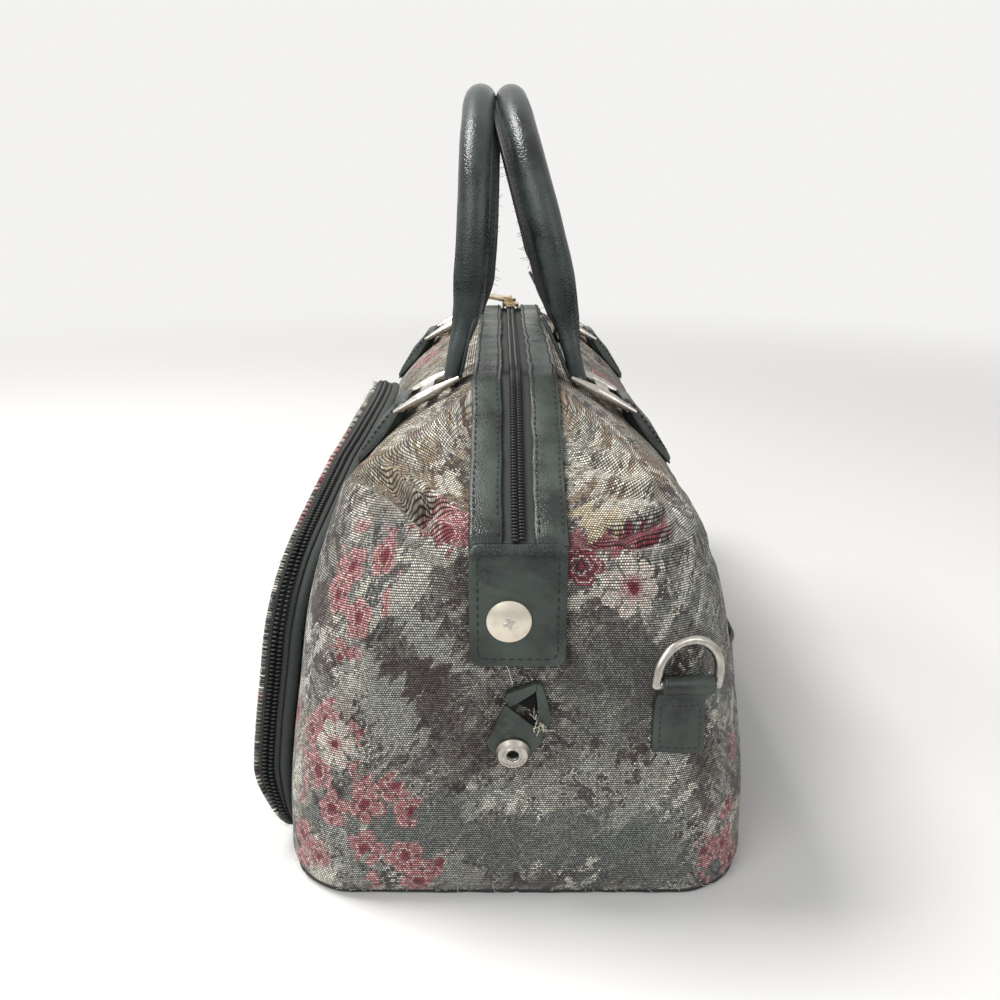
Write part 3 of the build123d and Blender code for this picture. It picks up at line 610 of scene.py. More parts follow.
def makeTape(name, base, rib):
    # woven tape: fine cross ribs
    material, desk, shader = newMaterial(name)
    place = desk.place()
    split = desk.add("ShaderNodeSeparateXYZ", {0: place}).outputs
    rows = [desk.math("SINE", desk.times(run, 6.28 / rib)) for run in (desk.math("ADD", split[0], split[2]), split[1])]
    waves = desk.times(*rows)
    fluff = desk.noise(place, 0.6, 4.0).outputs[0]
    tone = desk.math("MULTIPLY_ADD", waves, 0.3, desk.times(fluff, 0.7))
    desk.put(shader.inputs["Base Color"], desk.blend(tone, base, shade(base, 1.7, 0.003)))
    shader.inputs["Roughness"].default_value = 0.85
    shader.inputs["Sheen Weight"].default_value = 0.08
    bumpInto(desk, shader, desk.math("ADD", waves, fluff), 0.35, 0.0002)
    return material


def makePlain(name, base, roughness, spread=0.35):
    # thread, coil and board: a base colour with a little drift
    material, desk, shader = newMaterial(name)
    place = desk.place()
    drift = desk.noise(place, 0.4, 3.0).outputs[0]
    desk.put(shader.inputs["Base Color"], desk.blend(drift, shade(base, 1 - spread), shade(base, 1 + spread)))
    shader.inputs["Roughness"].default_value = roughness
    bumpInto(desk, shader, drift, 0.1, 0.0002)
    return material


finish = {
    "tapestry": makeTapestry(),
    "leather": makeLeather("greenHide", linear(44, 52, 48), 0.34, 0.3),
    "leatherSoft": makeLeather("wornHandleHide", linear(38, 46, 45), 0.3, 0.22, 1.2),
    "edge": makeLeather("blackPaintedEdge", linear(24, 26, 26), 0.45, 0.2),
    "tape": makeTape("zipTape", linear(44, 46, 44), 0.9),
    "roll": makeTape("gussetCloth", linear(44, 50, 48), 0.7),
    "coil": makePlain("zipNylon", linear(34, 36, 36), 0.38),
    "nickel": makeMetal("wornNickel", (0.50, 0.475, 0.43, 1.0), 0.27, 0.4),
    "cap": makeMetal("paleNickel", (0.72, 0.66, 0.56, 1.0), 0.34, 0.18),
    "brass": makeMetal("paleBrass", (0.78, 0.64, 0.40, 1.0), 0.28, 0.25),
    # near-black stitches: partly the thread's own dark green, partly painted shade of the needle holes they sit in
    "stitch": makePlain("greenThreadHoleShade", linear(24, 29, 28), 0.6),
    "fray": makePlain("creamThread", linear(226, 220, 204), 0.8, 0.15),
    "darkFray": makePlain("darkThread", linear(40, 44, 44), 0.8),
    "baseCloth": makeTape("baseCloth", linear(34, 34, 33), 1.2),
    "board": makePlain("stiffener", linear(80, 74, 68), 0.8),
    # near-black finish: painted shade inside the keeper's tear
    "tearShade": makePlain("paintedTearShade", linear(12, 13, 13), 0.9),
}
print("finishes made:", len(finish))


# Cloth body: a sagging shell over the shape of the two sewn halves

bodyCloth = {
    "walls": [(0, 182.6, 84.4, 26.0), (5, 185.0, 86.6, 28.0), (15.2, 186.0, 87.2, 31.0), (73.1, 185.0, 81.5, 34.0),
              (121.4, 185.0, 71.4, 32.0), (138, 185.0, 64.0, 28.8)],  # height, half length, half width, corner
    "roof": [(138, 185.0, 64.0, 28.8), (150.2, 159.3, 54.0, 24.1), (168, 121.7, 30.5, 14.0), (176, 105.1, 15.0, 5.0)],
    "wallRows": 84, "roofRows": 60, "endSteps": 44, "cornerSteps": 16, "sideSteps": 66,
    "hipSlope": 88.5, "sideSlope": 62.0,  # cloth from shoulder to ridge, over the ends and over the sides
    "swell": 1.3, "swellSize": 55.0, "ripple": 0.35, "rippleSize": 17.0,
    # folds: from and to on the flat cloth (across from the near seam, up), half width, depth
    "folds": [
        ((-54, 150), (-15, 137), 4.2, 8.0), ((-46, 158), (-18, 147), 2.6, 5.0), ((-45, 141), (-22, 153), 2.0, 4.2),
        ((-38, 136), (-27, 156), 1.9, 3.6), ((-66, 138), (-42, 147), 3.0, 4.0), ((-31, 166), (-17, 174), 2.0, 2.2),
        ((-52, 130), (-20, 126), 3.0, 2.4), ((66, 143), (17, 139), 4.0, 7.0), ((66, 134), (28, 133), 2.6, 4.4),
        ((58, 150), (26, 146), 2.2, 3.8), ((50, 127), (24, 128), 2.2, 2.6), ((28, 166), (58, 154), 2.4, 2.8),
        ((18, 184), (44, 166), 2.2, 2.2), ((44, 139), (30, 149), 1.8, 3.0),
        ((-63, 124), (-56, 40), 5.5, 1.2), ((62, 112), (68, 46), 5.5, 1.3), ((-21, 96), (-46, 58), 4.5, 0.9),
        ((24, 90), (42, 48), 4.5, 0.8), ((-8, 30), (-52, 16), 4.5, 0.8), ((8, 22), (60, 34), 5.0, 0.8),
        ((-18, 188), (-44, 180), 1.8, 1.1), ((-18, 199), (-36, 200), 1.6, 1.0), ((-17, 175), (-36, 169), 1.7, 1.0),
        ((18, 205), (34, 196), 1.8, 0.9), ((-34, 130), (-60, 110), 3.5, 1.0), ((34, 128), (58, 116), 3.5, 1.0),
    ],
    "farFolds": 34, "seed": 41,
    "seamDepth": 0.9, "seamWidth": 1.0, "seamTop": 97.0,
    "slump": 33.0, "slumpRise": 11.0,  # how far the near front shoulder leans back and up
    "evenFrom": 95.0, "evenTo": 260.0,  # the weave's shift from the lean fades out between these places across
}


def curveThrough(places, values, at):
    # smooth curve through a few values, without overshoot at its ends
    places, values = np.asarray(places, float), np.asarray(values, float)
    slope = np.gradient(values, places)
    k = np.clip(np.searchsorted(places, at, side="right") - 1, 0, len(places) - 2)
    gap = places[k + 1] - places[k]
    t = np.clip((at - places[k]) / gap, 0, 1)
    a, b = values[k], values[k + 1]
    return (a * (2 * t**3 - 3 * t**2 + 1) + b * (3 * t**2 - 2 * t**3)
            + gap * (slope[k] * (t**3 - 2 * t**2 + t) + slope[k + 1] * (t**3 - t**2)))


def sectionAt(height):
    height = np.asarray(height, float)
    sizes = []
    for column in (1, 2, 3):
        wall = curveThrough([s[0] for s in bodyCloth["walls"]], [s[column] for s in bodyCloth["walls"]], height)
        roof = curveThrough([s[0] for s in bodyCloth["roof"]], [s[column] for s in bodyCloth["roof"]], height)
        sizes.append(np.where(height <= bodyCloth["walls"][-1][0], wall, roof))
    return sizes


shoulder, ridge = bodyCloth["walls"][-1][0], bodyCloth["roof"][-1][0]
wallLength, wallWidth, wallCorner = bodyCloth["walls"][-3][1:]
flatMiddle = (wallWidth - wallCorner) + wallCorner * math.pi / 2 + (wallLength - wallCorner) + wallCorner * 0.43


def bodyWidthAt(height):
    return sectionAt(height)[1]


def quarterLoop(length, width, corner, climb):
    # one quarter of a section for every row, with its place on the flat cloth
    e, c, s = (np.linspace(0, 1, bodyCloth[k] + 1) for k in ("endSteps", "cornerSteps", "sideSteps"))
    length, width, corner = (v[:, None] for v in (length, width, corner))
    straight = width - corner
    end = np.stack([length + 0 * e, straight * e], -1)
    turn = c[1:] * math.pi / 2
    arc = np.stack([length - corner + corner * np.cos(turn), straight + corner * np.sin(turn)], -1)
    side = np.stack([(length - corner) * (1 - s[1:]), width + 0 * s[1:]], -1)
    uEnd = straight * e
    first, last = straight, flatMiddle - (length - corner)
    jump = climb[:, None] > 0
    share = np.where(jump, (c[1:] > 0.5) * 1.0, c[1:])
    uArc = np.where(jump, np.where(share > 0, last - corner * (math.pi / 2 - turn), first + corner * turn),
                    first + (last - first) * share)
    uSide = flatMiddle - side[..., 0]
    points = np.concatenate([end, arc, side], 1)
    weight = np.concatenate([0 * end[0, :, 0], c[1:], 0 * side[0, :, 0] + 1])[None]
    slope = bodyCloth["hipSlope"] * (1 - weight) + bodyCloth["sideSlope"] * weight
    return points, np.concatenate([uEnd, uArc, uSide], 1), slope * climb[:, None]


def foldDip(flat, start, end, halfWidth, depth):
    start, end = np.array(start, float), np.array(end, float)
    run = end - start
    rel = flat - start
    t = np.clip((rel @ run) / (run @ run), 0, 1)
    away = flat - (start + t[..., None] * run)
    distance = np.linalg.norm(away, axis=-1)
    side = (away @ np.array([-run[1], run[0]])) / np.linalg.norm(run)
    taper = np.sqrt(np.sin(math.pi * np.clip(t, 0.02, 0.98)))
    dip = -depth * np.exp(-((distance / halfWidth) ** 2))
    swell = 0.5 * depth * np.exp(-(((side - 1.9 * halfWidth) / halfWidth) ** 2)) * (distance < 5 * halfWidth)
    return (dip + swell) * taper


def seatMask(points):
    # 1 where a tab, strap or pocket lies on the cloth, so that the cloth stays under it
    x, y, z = np.abs(points[..., 0]), points[..., 1], points[..., 2]
    seats = [
        (x, 150, 999, y, -20, 20, z, 94, 141), (x, 150, 999, y, -14, 14, z, 52, 90),  # end tabs and keepers
        (x, 150, 999, y, 40, 75, z, 56, 96), (x, 74, 102, np.abs(y), 36, 70, z, 132, 172),  # ring tabs and straps
        (x, -1, 163, -y, 0, 99, z, -20, 152), (x, -1, 145, y, 0, 99, z, 20, 80),  # pocket and sleeve
    ]
    mask = np.zeros(x.shape)
    for a, a0, a1, b, b0, b1, c, c0, c1 in seats:
        near = 1.0
        for v, low, high in ((a, a0, a1), (b, b0, b1), (c, c0, c1)):
            near = near * smoothStep(low - 6, low + 2, v) * (1 - smoothStep(high - 2, high + 6, v))
        mask = np.maximum(mask, near)
    return mask


def evenFlat(calm, leaned, flat):
    # where the shoulder leans, the weave keeps its spacing along the longer way
    even = flat.copy()
    runs = [[np.linalg.norm(np.diff(grid, axis=k), axis=-1) for grid in (leaned, calm)] for k in (0, 1)]
    grown = [long - short for long, short in runs]
    even[1:, :, 1] += np.cumsum(grown[0], axis=0)
    seam = int(np.argmin(np.abs(flat[0, :, 0])))
    shift = np.concatenate([np.zeros((len(flat), 1)), np.cumsum(grown[1], axis=1)], 1)
    shift = shift - shift[:, seam:seam + 1]
    even[..., 0] += shift * (1 - smoothStep(bodyCloth["evenFrom"], bodyCloth["evenTo"], np.abs(flat[..., 0])))
    return even


def shapeBody():
    cloth = bodyCloth
    heights = np.concatenate([np.linspace(0, shoulder, cloth["wallRows"]),
                              np.linspace(shoulder, ridge, cloth["roofRows"])[1:]])
    length, width, corner = sectionAt(heights)
    climb = np.clip((heights - shoulder) / (ridge - shoulder), 0, 1)
    quarter, across, slope = quarterLoop(length, width, corner, climb)
    flip, n = np.array([-1, 1]), quarter.shape[1]
    back = slice(n - 2, None, -1)
    points = np.concatenate([-quarter, (quarter * -flip)[:, back], quarter[:, 1:], (quarter * flip)[:, back]], 1)
    u = np.concatenate([across - 2 * flatMiddle, -across[:, back], across[:, 1:], 2 * flatMiddle - across[:, back]], 1)
    up = np.concatenate([slope, slope[:, back], slope[:, 1:], slope[:, back]], 1)
    up = np.minimum(heights, shoulder)[:, None] + up
    body = np.concatenate([points, np.broadcast_to(heights[:, None, None], points.shape[:2] + (1,))], -1)
    flat = np.stack([u, up], -1)
    normal = np.cross(np.gradient(body, axis=1), np.gradient(body, axis=0))
    normal /= np.linalg.norm(normal, axis=-1)[..., None] + 1e-9
    cells = body.reshape(-1, 3)
    grid = body.shape[:2]
    rise = cloth["swell"] * softNoise(cells, cloth["swellSize"], 1).reshape(grid)
    rise += cloth["ripple"] * softNoise(cells, cloth["rippleSize"], 2).reshape(grid)
    for fold in cloth["folds"]:
        rise += foldDip(flat, *fold)
    draw = random.Random(cloth["seed"])
    for _ in range(cloth["farFolds"]):
        start = (draw.choice((-1, 1)) * draw.uniform(90, 2 * flatMiddle),
                 draw.choice((draw.uniform(12, 150), draw.uniform(128, 180))))
        run = draw.uniform(18, 46)
        lean = draw.uniform(-0.9, 0.9)
        rise += foldDip(flat, start, (start[0] + run * math.cos(lean), start[1] + run * math.sin(lean)),
                        draw.uniform(2.2, 5.0), draw.uniform(0.7, 1.9))
    rise *= smoothStep(0, 12, body[..., 2]) * (1 - smoothStep(170, 175, body[..., 2]))
    held = seatMask(body)
    rise = np.where(held > 0, rise * (1 - held) - 0.35 * held, rise)
    ends = np.minimum(np.abs(u), 2 * flatMiddle - np.abs(u))
    seam = np.exp(-((ends / cloth["seamWidth"]) ** 2))
    seam = seam * (1 - smoothStep(cloth["seamTop"], cloth["seamTop"] + 4, body[..., 2]))
    rise -= cloth["seamDepth"] * seam
    lean = smoothStep(100, 148, body[..., 2]) * (1 - smoothStep(162, 175, body[..., 2]))
    lean = lean * smoothStep(16, 58, -body[..., 1]) * smoothStep(112, 182, body[..., 0])
    slump = np.stack([-cloth["slump"] * lean, 0 * lean, cloth["slumpRise"] * lean], -1)
    return body + normal * rise[..., None] + slump, evenFlat(body, body + slump, flat)


clothGrid, clothFlat = shapeBody()
makePiece(
    "tapestry_body", clothGrid.reshape(-1, 3), gridFaces(*clothGrid.shape[:2]), finish["tapestry"], slot="tapestry",
    replaces=("front_body_cloth", "back_body_cloth"),
    flat=np.c_[clothFlat.reshape(-1, 2), np.zeros(clothFlat[..., 0].size)],
)
print("body cloth:", clothGrid.shape)


# Base edge: a piped hem with broken threads

baseEdge = {
    "radius": 1.1, "height": 1.2, "out": 0.2, "wander": 0.5, "wanderSize": 9.0, "middle": (0.82, 0.62),
    "frays": 240, "frayFloor": 0.15, "seed": 5,
}


def shapeBaseEdge():
    ring = clothGrid[0].copy()
    ring[:, 2] = baseEdge["height"]
    away = ring[:, :2] - ring[:, :2] * np.array(baseEdge["middle"])
    away /= np.linalg.norm(away, axis=1)[:, None]
    ring[:, :2] += away * (baseEdge["out"] + baseEdge["wander"] * softNoise(ring, baseEdge["wanderSize"], 3))[:, None]
    ring = ring[:-1]
    verts, faces = sweepProfile(ring, (0, 0, 1), ringProfile(baseEdge["radius"], 8), closed=True)
    makePiece("base_piping_hem", verts, faces, finish["edge"], slot="leather", replaces=("base_piping",))
    draw = random.Random(baseEdge["seed"])
    picks = [draw.randrange(len(ring)) for _ in range(baseEdge["frays"])]
    starts = [ring[i] + np.append(away[i] * 1.2, 0.8) for i in picks]
    headings = [np.append(away[i] * 0.8, draw.uniform(-0.1, 0.9)) for i in picks]
    verts, faces = threads(starts, headings, baseEdge["seed"], length=(1.5, 4.5), radius=0.09)
    verts[:, 2] = np.maximum(verts[:, 2], baseEdge["frayFloor"])
    makePiece("base_frays", verts, faces, finish["fray"], slot="tapestry")


shapeBaseEdge()
print("base edge made")


# Main zip: leather bands, stitches and interlocked teeth along the ridge and both hips

mainZip = {
    "foot": (185.0, 138.0), "crest": (105.08, 176.0),  # along, height
    "bend": 30.0, "footBend": 5.0, "tuck": 7.0, "tuckDepth": 2.1, "stations": 240,
    "bandIn": 5.4, "bandOut": 16.5, "bandLow": 1.0, "bandHigh": 3.3, "crown": 0.012,
    "wave": 1.15, "waveSize": 24.0, "tight": 0.3, "lift": 0.55, "liftSize": 10.8, "stitchInset": 1.5,
    "toothPitch": 1.55, "toothHalf": (1.35, 0.5, 1.0), "toothOut": 1.1, "toothLevel": 2.3,
}


def roundedLine(corners, radii, level):
    # a line through corners in the (x, z) plane, rounded at each and raised by a level
    corners = [np.array(c, float) for c in corners]
    ways = [(b - a) / np.linalg.norm(b - a) for a, b in zip(corners, corners[1:])]
    outs = [np.array([w[1], -w[0]]) for w in ways]
    points = [corners[0] + outs[0] * level]
    for k, radius in enumerate(radii):
        turn = math.acos(float(np.clip(ways[k] @ ways[k + 1], -1, 1)))
        centre = corners[k + 1] - ways[k] * radius * math.tan(turn / 2) - outs[k] * radius
        first = math.atan2(outs[k][1], outs[k][0])
        turns = first + np.linspace(0, turn, 9)
        points += [centre + (radius + level) * np.array([math.cos(a), math.sin(a)]) for a in turns]
    points.append(corners[-1] + outs[-1] * level)
    run = np.concatenate([[0], np.cumsum(np.linalg.norm(np.diff(points, axis=0), axis=1))])
    marks = np.linspace(0, run[-1], mainZip["stations"])
    line = np.stack([np.interp(marks, run, np.array(points)[:, k]) for k in range(2)], -1)
    return np.stack([line[:, 0], 0 * marks, line[:, 1]], -1)


def ridgeLine(level, tuck=0.0):
    # line of the zip from the near foot over the ridge to the far foot
    (footX, footZ), (crestX, crestZ) = mainZip["foot"], mainZip["crest"]
    half = [(footX, footZ), (crestX, crestZ)]
    radii = [mainZip["bend"]]
    if tuck:
        half, radii = [(footX, footZ - tuck)] + half, [mainZip["footBend"]] + radii
    return roundedLine(half + [(-x, z) for x, z in half[::-1]], radii + radii[::-1], level)


def shapeMainZip():
    z = mainZip
    line = ridgeLine(0.0, z["tuck"])
    for side, name in ((-1, "front"), (1, "back")):
        wave = side * (z["wave"] * np.abs(softNoise(line, z["waveSize"], 6 + side)) - z["tight"])  # clear of the slider
        lift = z["lift"] * softNoise(line, z["liftSize"], 9 + side)
        under = 1 - smoothStep(z["foot"][1] - 3, z["foot"][1] + 3, line[:, 2])  # tucked under the end tab
        lift = lift - z["tuckDepth"] * under
        section = roundProfile((z["bandOut"] - z["bandIn"]) / 2, (z["bandHigh"] - z["bandLow"]) / 2, 0.85)
        section = np.broadcast_to(section, (len(line),) + section.shape).copy()
        section[..., 1] *= np.where(section[..., 1] > 0, 1 - z["crown"] * section[..., 0] ** 2, 1)  # crowned across
        section[..., 0] += side * (z["bandIn"] + z["bandOut"]) / 2 + wave[:, None]
        section[..., 1] += (z["bandLow"] + z["bandHigh"]) / 2 + lift[:, None]
        verts, faces = sweepProfile(line, (0, 1, 0), section)
        makePiece(f"zip_band_leather_{name}", verts, faces, finish["leather"], slot="leather",
                  replaces=(f"zip_band_{name}",))
        rows = []
        for inset in (z["stitchInset"], z["bandOut"] - z["bandIn"] - z["stitchInset"]):
            top = ridgeLine(z["bandHigh"] - 0.12, z["tuck"])
            top[:, 1] += side * (z["bandIn"] + inset) + wave
            top[:, 2] += lift
            top = top[top[:, 2] > z["foot"][1] + 3.5]
            rows.append(stitchRow(top, (0, 0, 1), pitch=3.2, length=2.3, width=0.36))
        verts, faces = joinParts(rows)
        makePiece(f"zip_band_stitches_{name}", verts, faces, finish["stitch"], slot="leather")
        teeth, along = evenPath(ridgeLine(z["toothLevel"]), z["toothPitch"])
        teeth = teeth + along * (z["toothPitch"] / 2 if side > 0 else 0)
        teeth[:, 1] += side * z["toothOut"]
        across = np.broadcast_to((0.0, 1.0, 0.0), along.shape)
        axes = np.stack([across, along, np.cross(across, along)], 1)
        verts, faces = blobs(teeth, axes, z["toothHalf"], rings=5, sides=8)
        makePiece(f"zip_teeth_{name}", verts, faces, finish["coil"], slot="zip_coil", replaces=(f"zip_coil_{name}",))


shapeMainZip()
print("main zip made")


# End tabs: stitched leather over the ends of the zip, with a press-stud cap

endTab = {
    "wall": 185.3, "thick": 2.2, "half": 16.3, "low": 95.7, "high": 139.6, "corner": 4.0, "inset": 2.9,
    "crease": ((-12.0, 129.0), (2.5, 124.5)), "creaseDepth": 1.5, "cap": (-3.0, 113.0), "capFace": 190.1,
    "markDepth": 0.12, "markHalf": (0.22, 0.8, 2.3), "markTurns": (20, 110),  # the cross pressed into the cap
}


def flatPiece(outline, thick, wall, sign, bend):
    # leather cut to an outline in the (y, z) plane, laid on an end wall
    scales = (1.0, 1.0, 0.995, 0.98, 0.95, 0.88, 0.78, 0.66, 0.52, 0.38, 0.24, 0.1)
    heights = (0, thick - 0.75, thick - 0.3, thick - 0.05, thick) + (thick,) * 7
    verts, faces = padShape(outline, scales, heights)
    verts[:, 2] += bend(verts[:, 0], verts[:, 1]) * (verts[:, 2] > 0.1)
    placed = np.stack([sign * (wall + verts[:, 2]), verts[:, 0], verts[:, 1]], -1)
    if sign < 0:
        faces = [tuple(reversed(f)) for f in faces]
    return placed, faces


def tabBend(y, z):
    (y0, z0), (y1, z1) = endTab["crease"]
    run = math.hypot(y1 - y0, z1 - z0)
    along = ((y - y0) * (y1 - y0) + (z - z0) * (z1 - z0)) / run
    off = ((y - y0) * (z1 - z0) - (z - z0) * (y1 - y0)) / run
    fade = smoothStep(-4, 2, along) * (1 - smoothStep(run - 4, run + 6, along))
    crease = endTab["creaseDepth"] * fade * (np.exp(-(((off - 1.6) / 1.8) ** 2)) - np.exp(-(((off + 2.2) / 2.4) ** 2)))
    return crease + 0.9 * smoothStep(130, 136, z) - 0.055 * np.clip(z - 134, 0, 9) ** 2  # leans over the shoulder


def shapeEndTabs():
    t = endTab
    corners = [(-t["half"], t["low"]), (t["half"], t["low"]), (t["half"], t["high"]), (-t["half"], t["high"])]
    outline = roundOutline(corners, t["corner"])
    middle = np.array([0, (t["low"] + t["high"]) / 2])
    reach = np.array([t["half"], (t["high"] - t["low"]) / 2])
    for sign, name in ((1, "near"), (-1, "far")):
        verts, faces = flatPiece(outline, t["thick"], t["wall"], sign, tabBend)
        makePiece(f"end_tab_leather_{name}", verts, faces, finish["leather"], slot="leather",
                  replaces=(f"end_tab_{name}",))
        loop = middle + (outline - middle) * ((reach - t["inset"]) / reach)
        loop = np.vstack([loop, loop[:1]])
        path = np.stack([sign * (t["wall"] + t["thick"] + tabBend(loop[:, 0], loop[:, 1])), loop[:, 0], loop[:, 1]], -1)
        verts, faces = stitchRow(path, (sign, 0, 0), pitch=3.0, length=2.2, width=0.36)
        makePiece(f"end_tab_stitches_{name}", verts, faces, finish["stitch"], slot="leather")
    arms = []
    for turn in t["markTurns"]:
        a = math.radians(turn)
        along = np.array([0, math.cos(a), math.sin(a)])
        axes = [(1, 0, 0), np.cross(along, (1, 0, 0)), along]
        arms.append(blobs([(t["capFace"] - t["markDepth"], *t["cap"])], [axes], t["markHalf"], 6, 10))
    verts, faces = joinParts(arms)
    makePiece("snap_cap_mark", verts, faces, finish["nickel"], slot="nickel")


shapeEndTabs()
print("end tabs made")


# Keepers: the near one torn open, as it hangs below its tab

keeper = {
    "wall": 185.3,
    "legs": [
        [(-4.0, 85.8), (6.8, 90.2), (6.2, 87.0), (-1.7, 81.4), (-4.6, 82.6)],
        [(6.8, 90.2), (8.4, 89.2), (11.8, 76.4), (8.8, 69.0), (6.4, 72.0), (7.2, 77.8), (6.2, 87.0)],
    ],
    "hole": [(-1.7, 81.4), (6.2, 87.0), (6.6, 77.6)],
    "flap": [(-4.3, 82.8), (4.3, 75.4), (9.0, 72.7), (8.6, 67.2), (2.0, 56.1), (-8.6, 61.2), (-11.0, 67.2)],
    "farFlap": [(-5.0, 87.0), (7.0, 88.0), (11.0, 76.0), (8.6, 67.2), (2.0, 56.1), (-8.6, 61.2), (-11.0, 67.2)],
    "thick": 1.5, "flapRise": 3.6, "legShare": 0.55, "holeDepth": 0.35, "frays": 26, "seed": 8,
    "socket": (-1.6, 63.8), "socketFace": 191.4, "beadRing": 4.7, "beads": 25, "beadHalf": 0.4,
    "lip": 2.6, "lipTube": 0.55,
}


def keeperRise(y, z):
    return keeper["flapRise"] * smoothStep(58, 76, z)


def shapeKeepers():
    k = keeper
    parts = [flatPiece(roundOutline(leg, 0.9), k["thick"], k["wall"], 1, lambda y, z: keeperRise(y, z) * k["legShare"])
             for leg in k["legs"]]
    shell, faces = flatPiece(roundOutline(k["flap"], 1.6), k["thick"], k["wall"], 1, keeperRise)
    under = k["wall"] + keeperRise(shell[:, 1], shell[:, 2]) * 0.9  # the flap's back lifts off the wall with its face
    shell[:, 0] = np.where(shell[:, 0] < k["wall"] + 0.05, under, shell[:, 0])
    verts, faces = joinParts(parts + [(shell, faces)])
    makePiece("keeper_leather_near", verts, faces, finish["leather"], slot="leather", replaces=("keeper_near",))
    # a near-black sheet on the wall inside the tear: painted shade in the gap between the torn pieces
    hole, faces = flatPiece(roundOutline(k["hole"], 0.6), k["holeDepth"], k["wall"], 1, lambda y, z: 0 * y)
    makePiece("keeper_tear_shade_near", hole, faces, finish["tearShade"], slot="leather")
    draw = random.Random(k["seed"])
    starts, headings = [], []
    for _ in range(k["frays"]):
        t = draw.random()
        starts.append((k["wall"] + 2.6 + draw.uniform(0, 1.4), 5.6 + 4.6 * t, 77.5 - 6 * t))
        headings.append((draw.uniform(0.1, 0.6), draw.uniform(-0.7, 0.9), draw.uniform(-0.5, 0.7)))
    torn = threads(starts, headings, k["seed"], length=(1.5, 4.5), radius=0.14)
    stray = threads([(k["wall"] + 2.5, -4.0, 96.5)], [(0.05, 0.5, -0.8)], 3, length=(7, 7.1), radius=0.13, curl=0.15)
    verts, faces = joinParts([torn, stray])
    makePiece("keeper_torn_threads", verts, faces, finish["fray"], slot="leather")
    beads = np.array(k["socket"]) + ringProfile(k["beadRing"], k["beads"])
    beads = np.c_[np.full(len(beads), k["socketFace"] - 0.5), beads]
    lip = np.array(k["socket"]) + ringProfile(k["lip"], 32)
    lip = np.c_[np.full(len(lip), k["socketFace"] - 0.1), lip]
    rims = [blobs(beads, np.broadcast_to(np.eye(3), (len(beads), 3, 3)), (k["beadHalf"],) * 3, 4, 6),
            sweepProfile(lip, (1, 0, 0), ringProfile(k["lipTube"], 8), closed=True)]
    makePiece("snap_socket_rims", *joinParts(rims), finish["nickel"], slot="nickel")
    far = roundOutline(k["farFlap"], 2.0) * np.array([-1, 1])
    verts, faces = flatPiece(far, k["thick"], k["wall"], -1, keeperRise)
    makePiece("keeper_leather_far", verts, faces, finish["leather"], slot="leather", replaces=("keeper_far",))


shapeKeepers()
print("keepers made")


# Handle straps: padded leather folded over the lower pins and sewn to a point

handleStrap = {
    "pin": (88.0, 45.1, 164.4), "tip": (63.5, 140.0),  # along, out, height; out and height of the tip
    # place along the strap from the pin, half width, middle, half thickness
    "sections": [(3.4, 8.6, 0.0, 0.5), (2.8, 9.3, 0.0, 2.0), (1.4, 9.5, 0.0, 3.1), (0.0, 9.5, 0.0, 3.4),
                 (-4.0, 9.5, -0.4, 3.7), (-8.0, 9.5, -0.8, 4.4), (-13.8, 9.5, -1.0, 5.0), (-17.5, 9.3, -0.9, 4.6),
                 (-22.0, 7.4, -0.5, 3.7),
                 (-26.0, 5.0, -0.2, 2.8), (-29.0, 3.0, 0.0, 2.1), (-31.2, 1.3, 0.0, 1.5), (-31.9, 0.4, 0.0, 0.8)],
    "fill": 0.75, "edge": 0.55, "edgeTall": 1.9, "inset": 2.2, "crown": 0.42, "crownPower": 2.2, "stitchEnd": -29.0,
}


def shapeStraps():
    s = handleStrap
    along, out, height = s["pin"]
    run, drop = s["tip"][0] - out, height - s["tip"][1]
    length = math.hypot(run, drop)
    place, half, middle, thick = (np.array(c) for c in zip(*s["sections"]))
    fine = np.linspace(place[0], place[-1], 46)
    half, middle, thick = (np.interp(-fine, -place, v) for v in (half, middle, thick))
    for front, side in (("front", -1), ("back", 1)):
        up = np.array([0, -side * run / length, drop / length])
        outward = np.array([0, side * drop / length, run / length])
        for near, end in (("near", 1), ("far", -1)):
            pin = np.array([end * along, side * out, height])
            path = pin + fine[:, None] * up + middle[:, None] * outward
            acrossDir = np.cross(-up, outward)
            section = [roundProfile(h, t, 0.92, 6) for h, t in zip(half, thick)]
            for k, ring in enumerate(section):  # crowned: full in the middle and thin at the edges
                ring[:, 1] *= 1 - s["crown"] * (np.abs(ring[:, 0]) / (half[k] + 1e-6)) ** s["crownPower"]
            verts, faces = sweepProfile(path, acrossDir, section)
            name = f"{front}_strap_{near}"
            pad = makePiece(f"{front}_strap_leather_{near}", verts, faces, finish["leather"], slot="leather",
                            replaces=(name,))
            rows = []
            rim = (fine < 0) & (fine > s["stitchEnd"])
            for hand in (-1, 1):
                inset = np.maximum(half - s["inset"], 0)
                rise = thick * (1 - s["crown"] * (inset / half) ** s["crownPower"])
                row = path + hand * inset[:, None] * acrossDir + (rise - 0.05)[:, None] * outward
                rows.append(stitchRow(row[rim & (half > 4)], outward, pitch=2.8, length=2.0, width=0.34))
            verts, faces = joinParts(rows)
            makePiece(f"{front}_strap_stitches_{near}", verts, faces, finish["stitch"], slot="leather")
            edge = np.concatenate([path + half[:, None] * acrossDir, (path - half[:, None] * acrossDir)[::-1]])
            verts, faces = sweepProfile(edge, outward, ringProfile(s["edge"], 7, s["edgeTall"]), closed=True)
            makePiece(f"{front}_strap_edge_{near}", verts, faces, finish["edge"], slot="leather")


shapeStraps()
print("handle straps made")


# Handles: rolled leather, closed by a stitched seam and folded round the upper pins

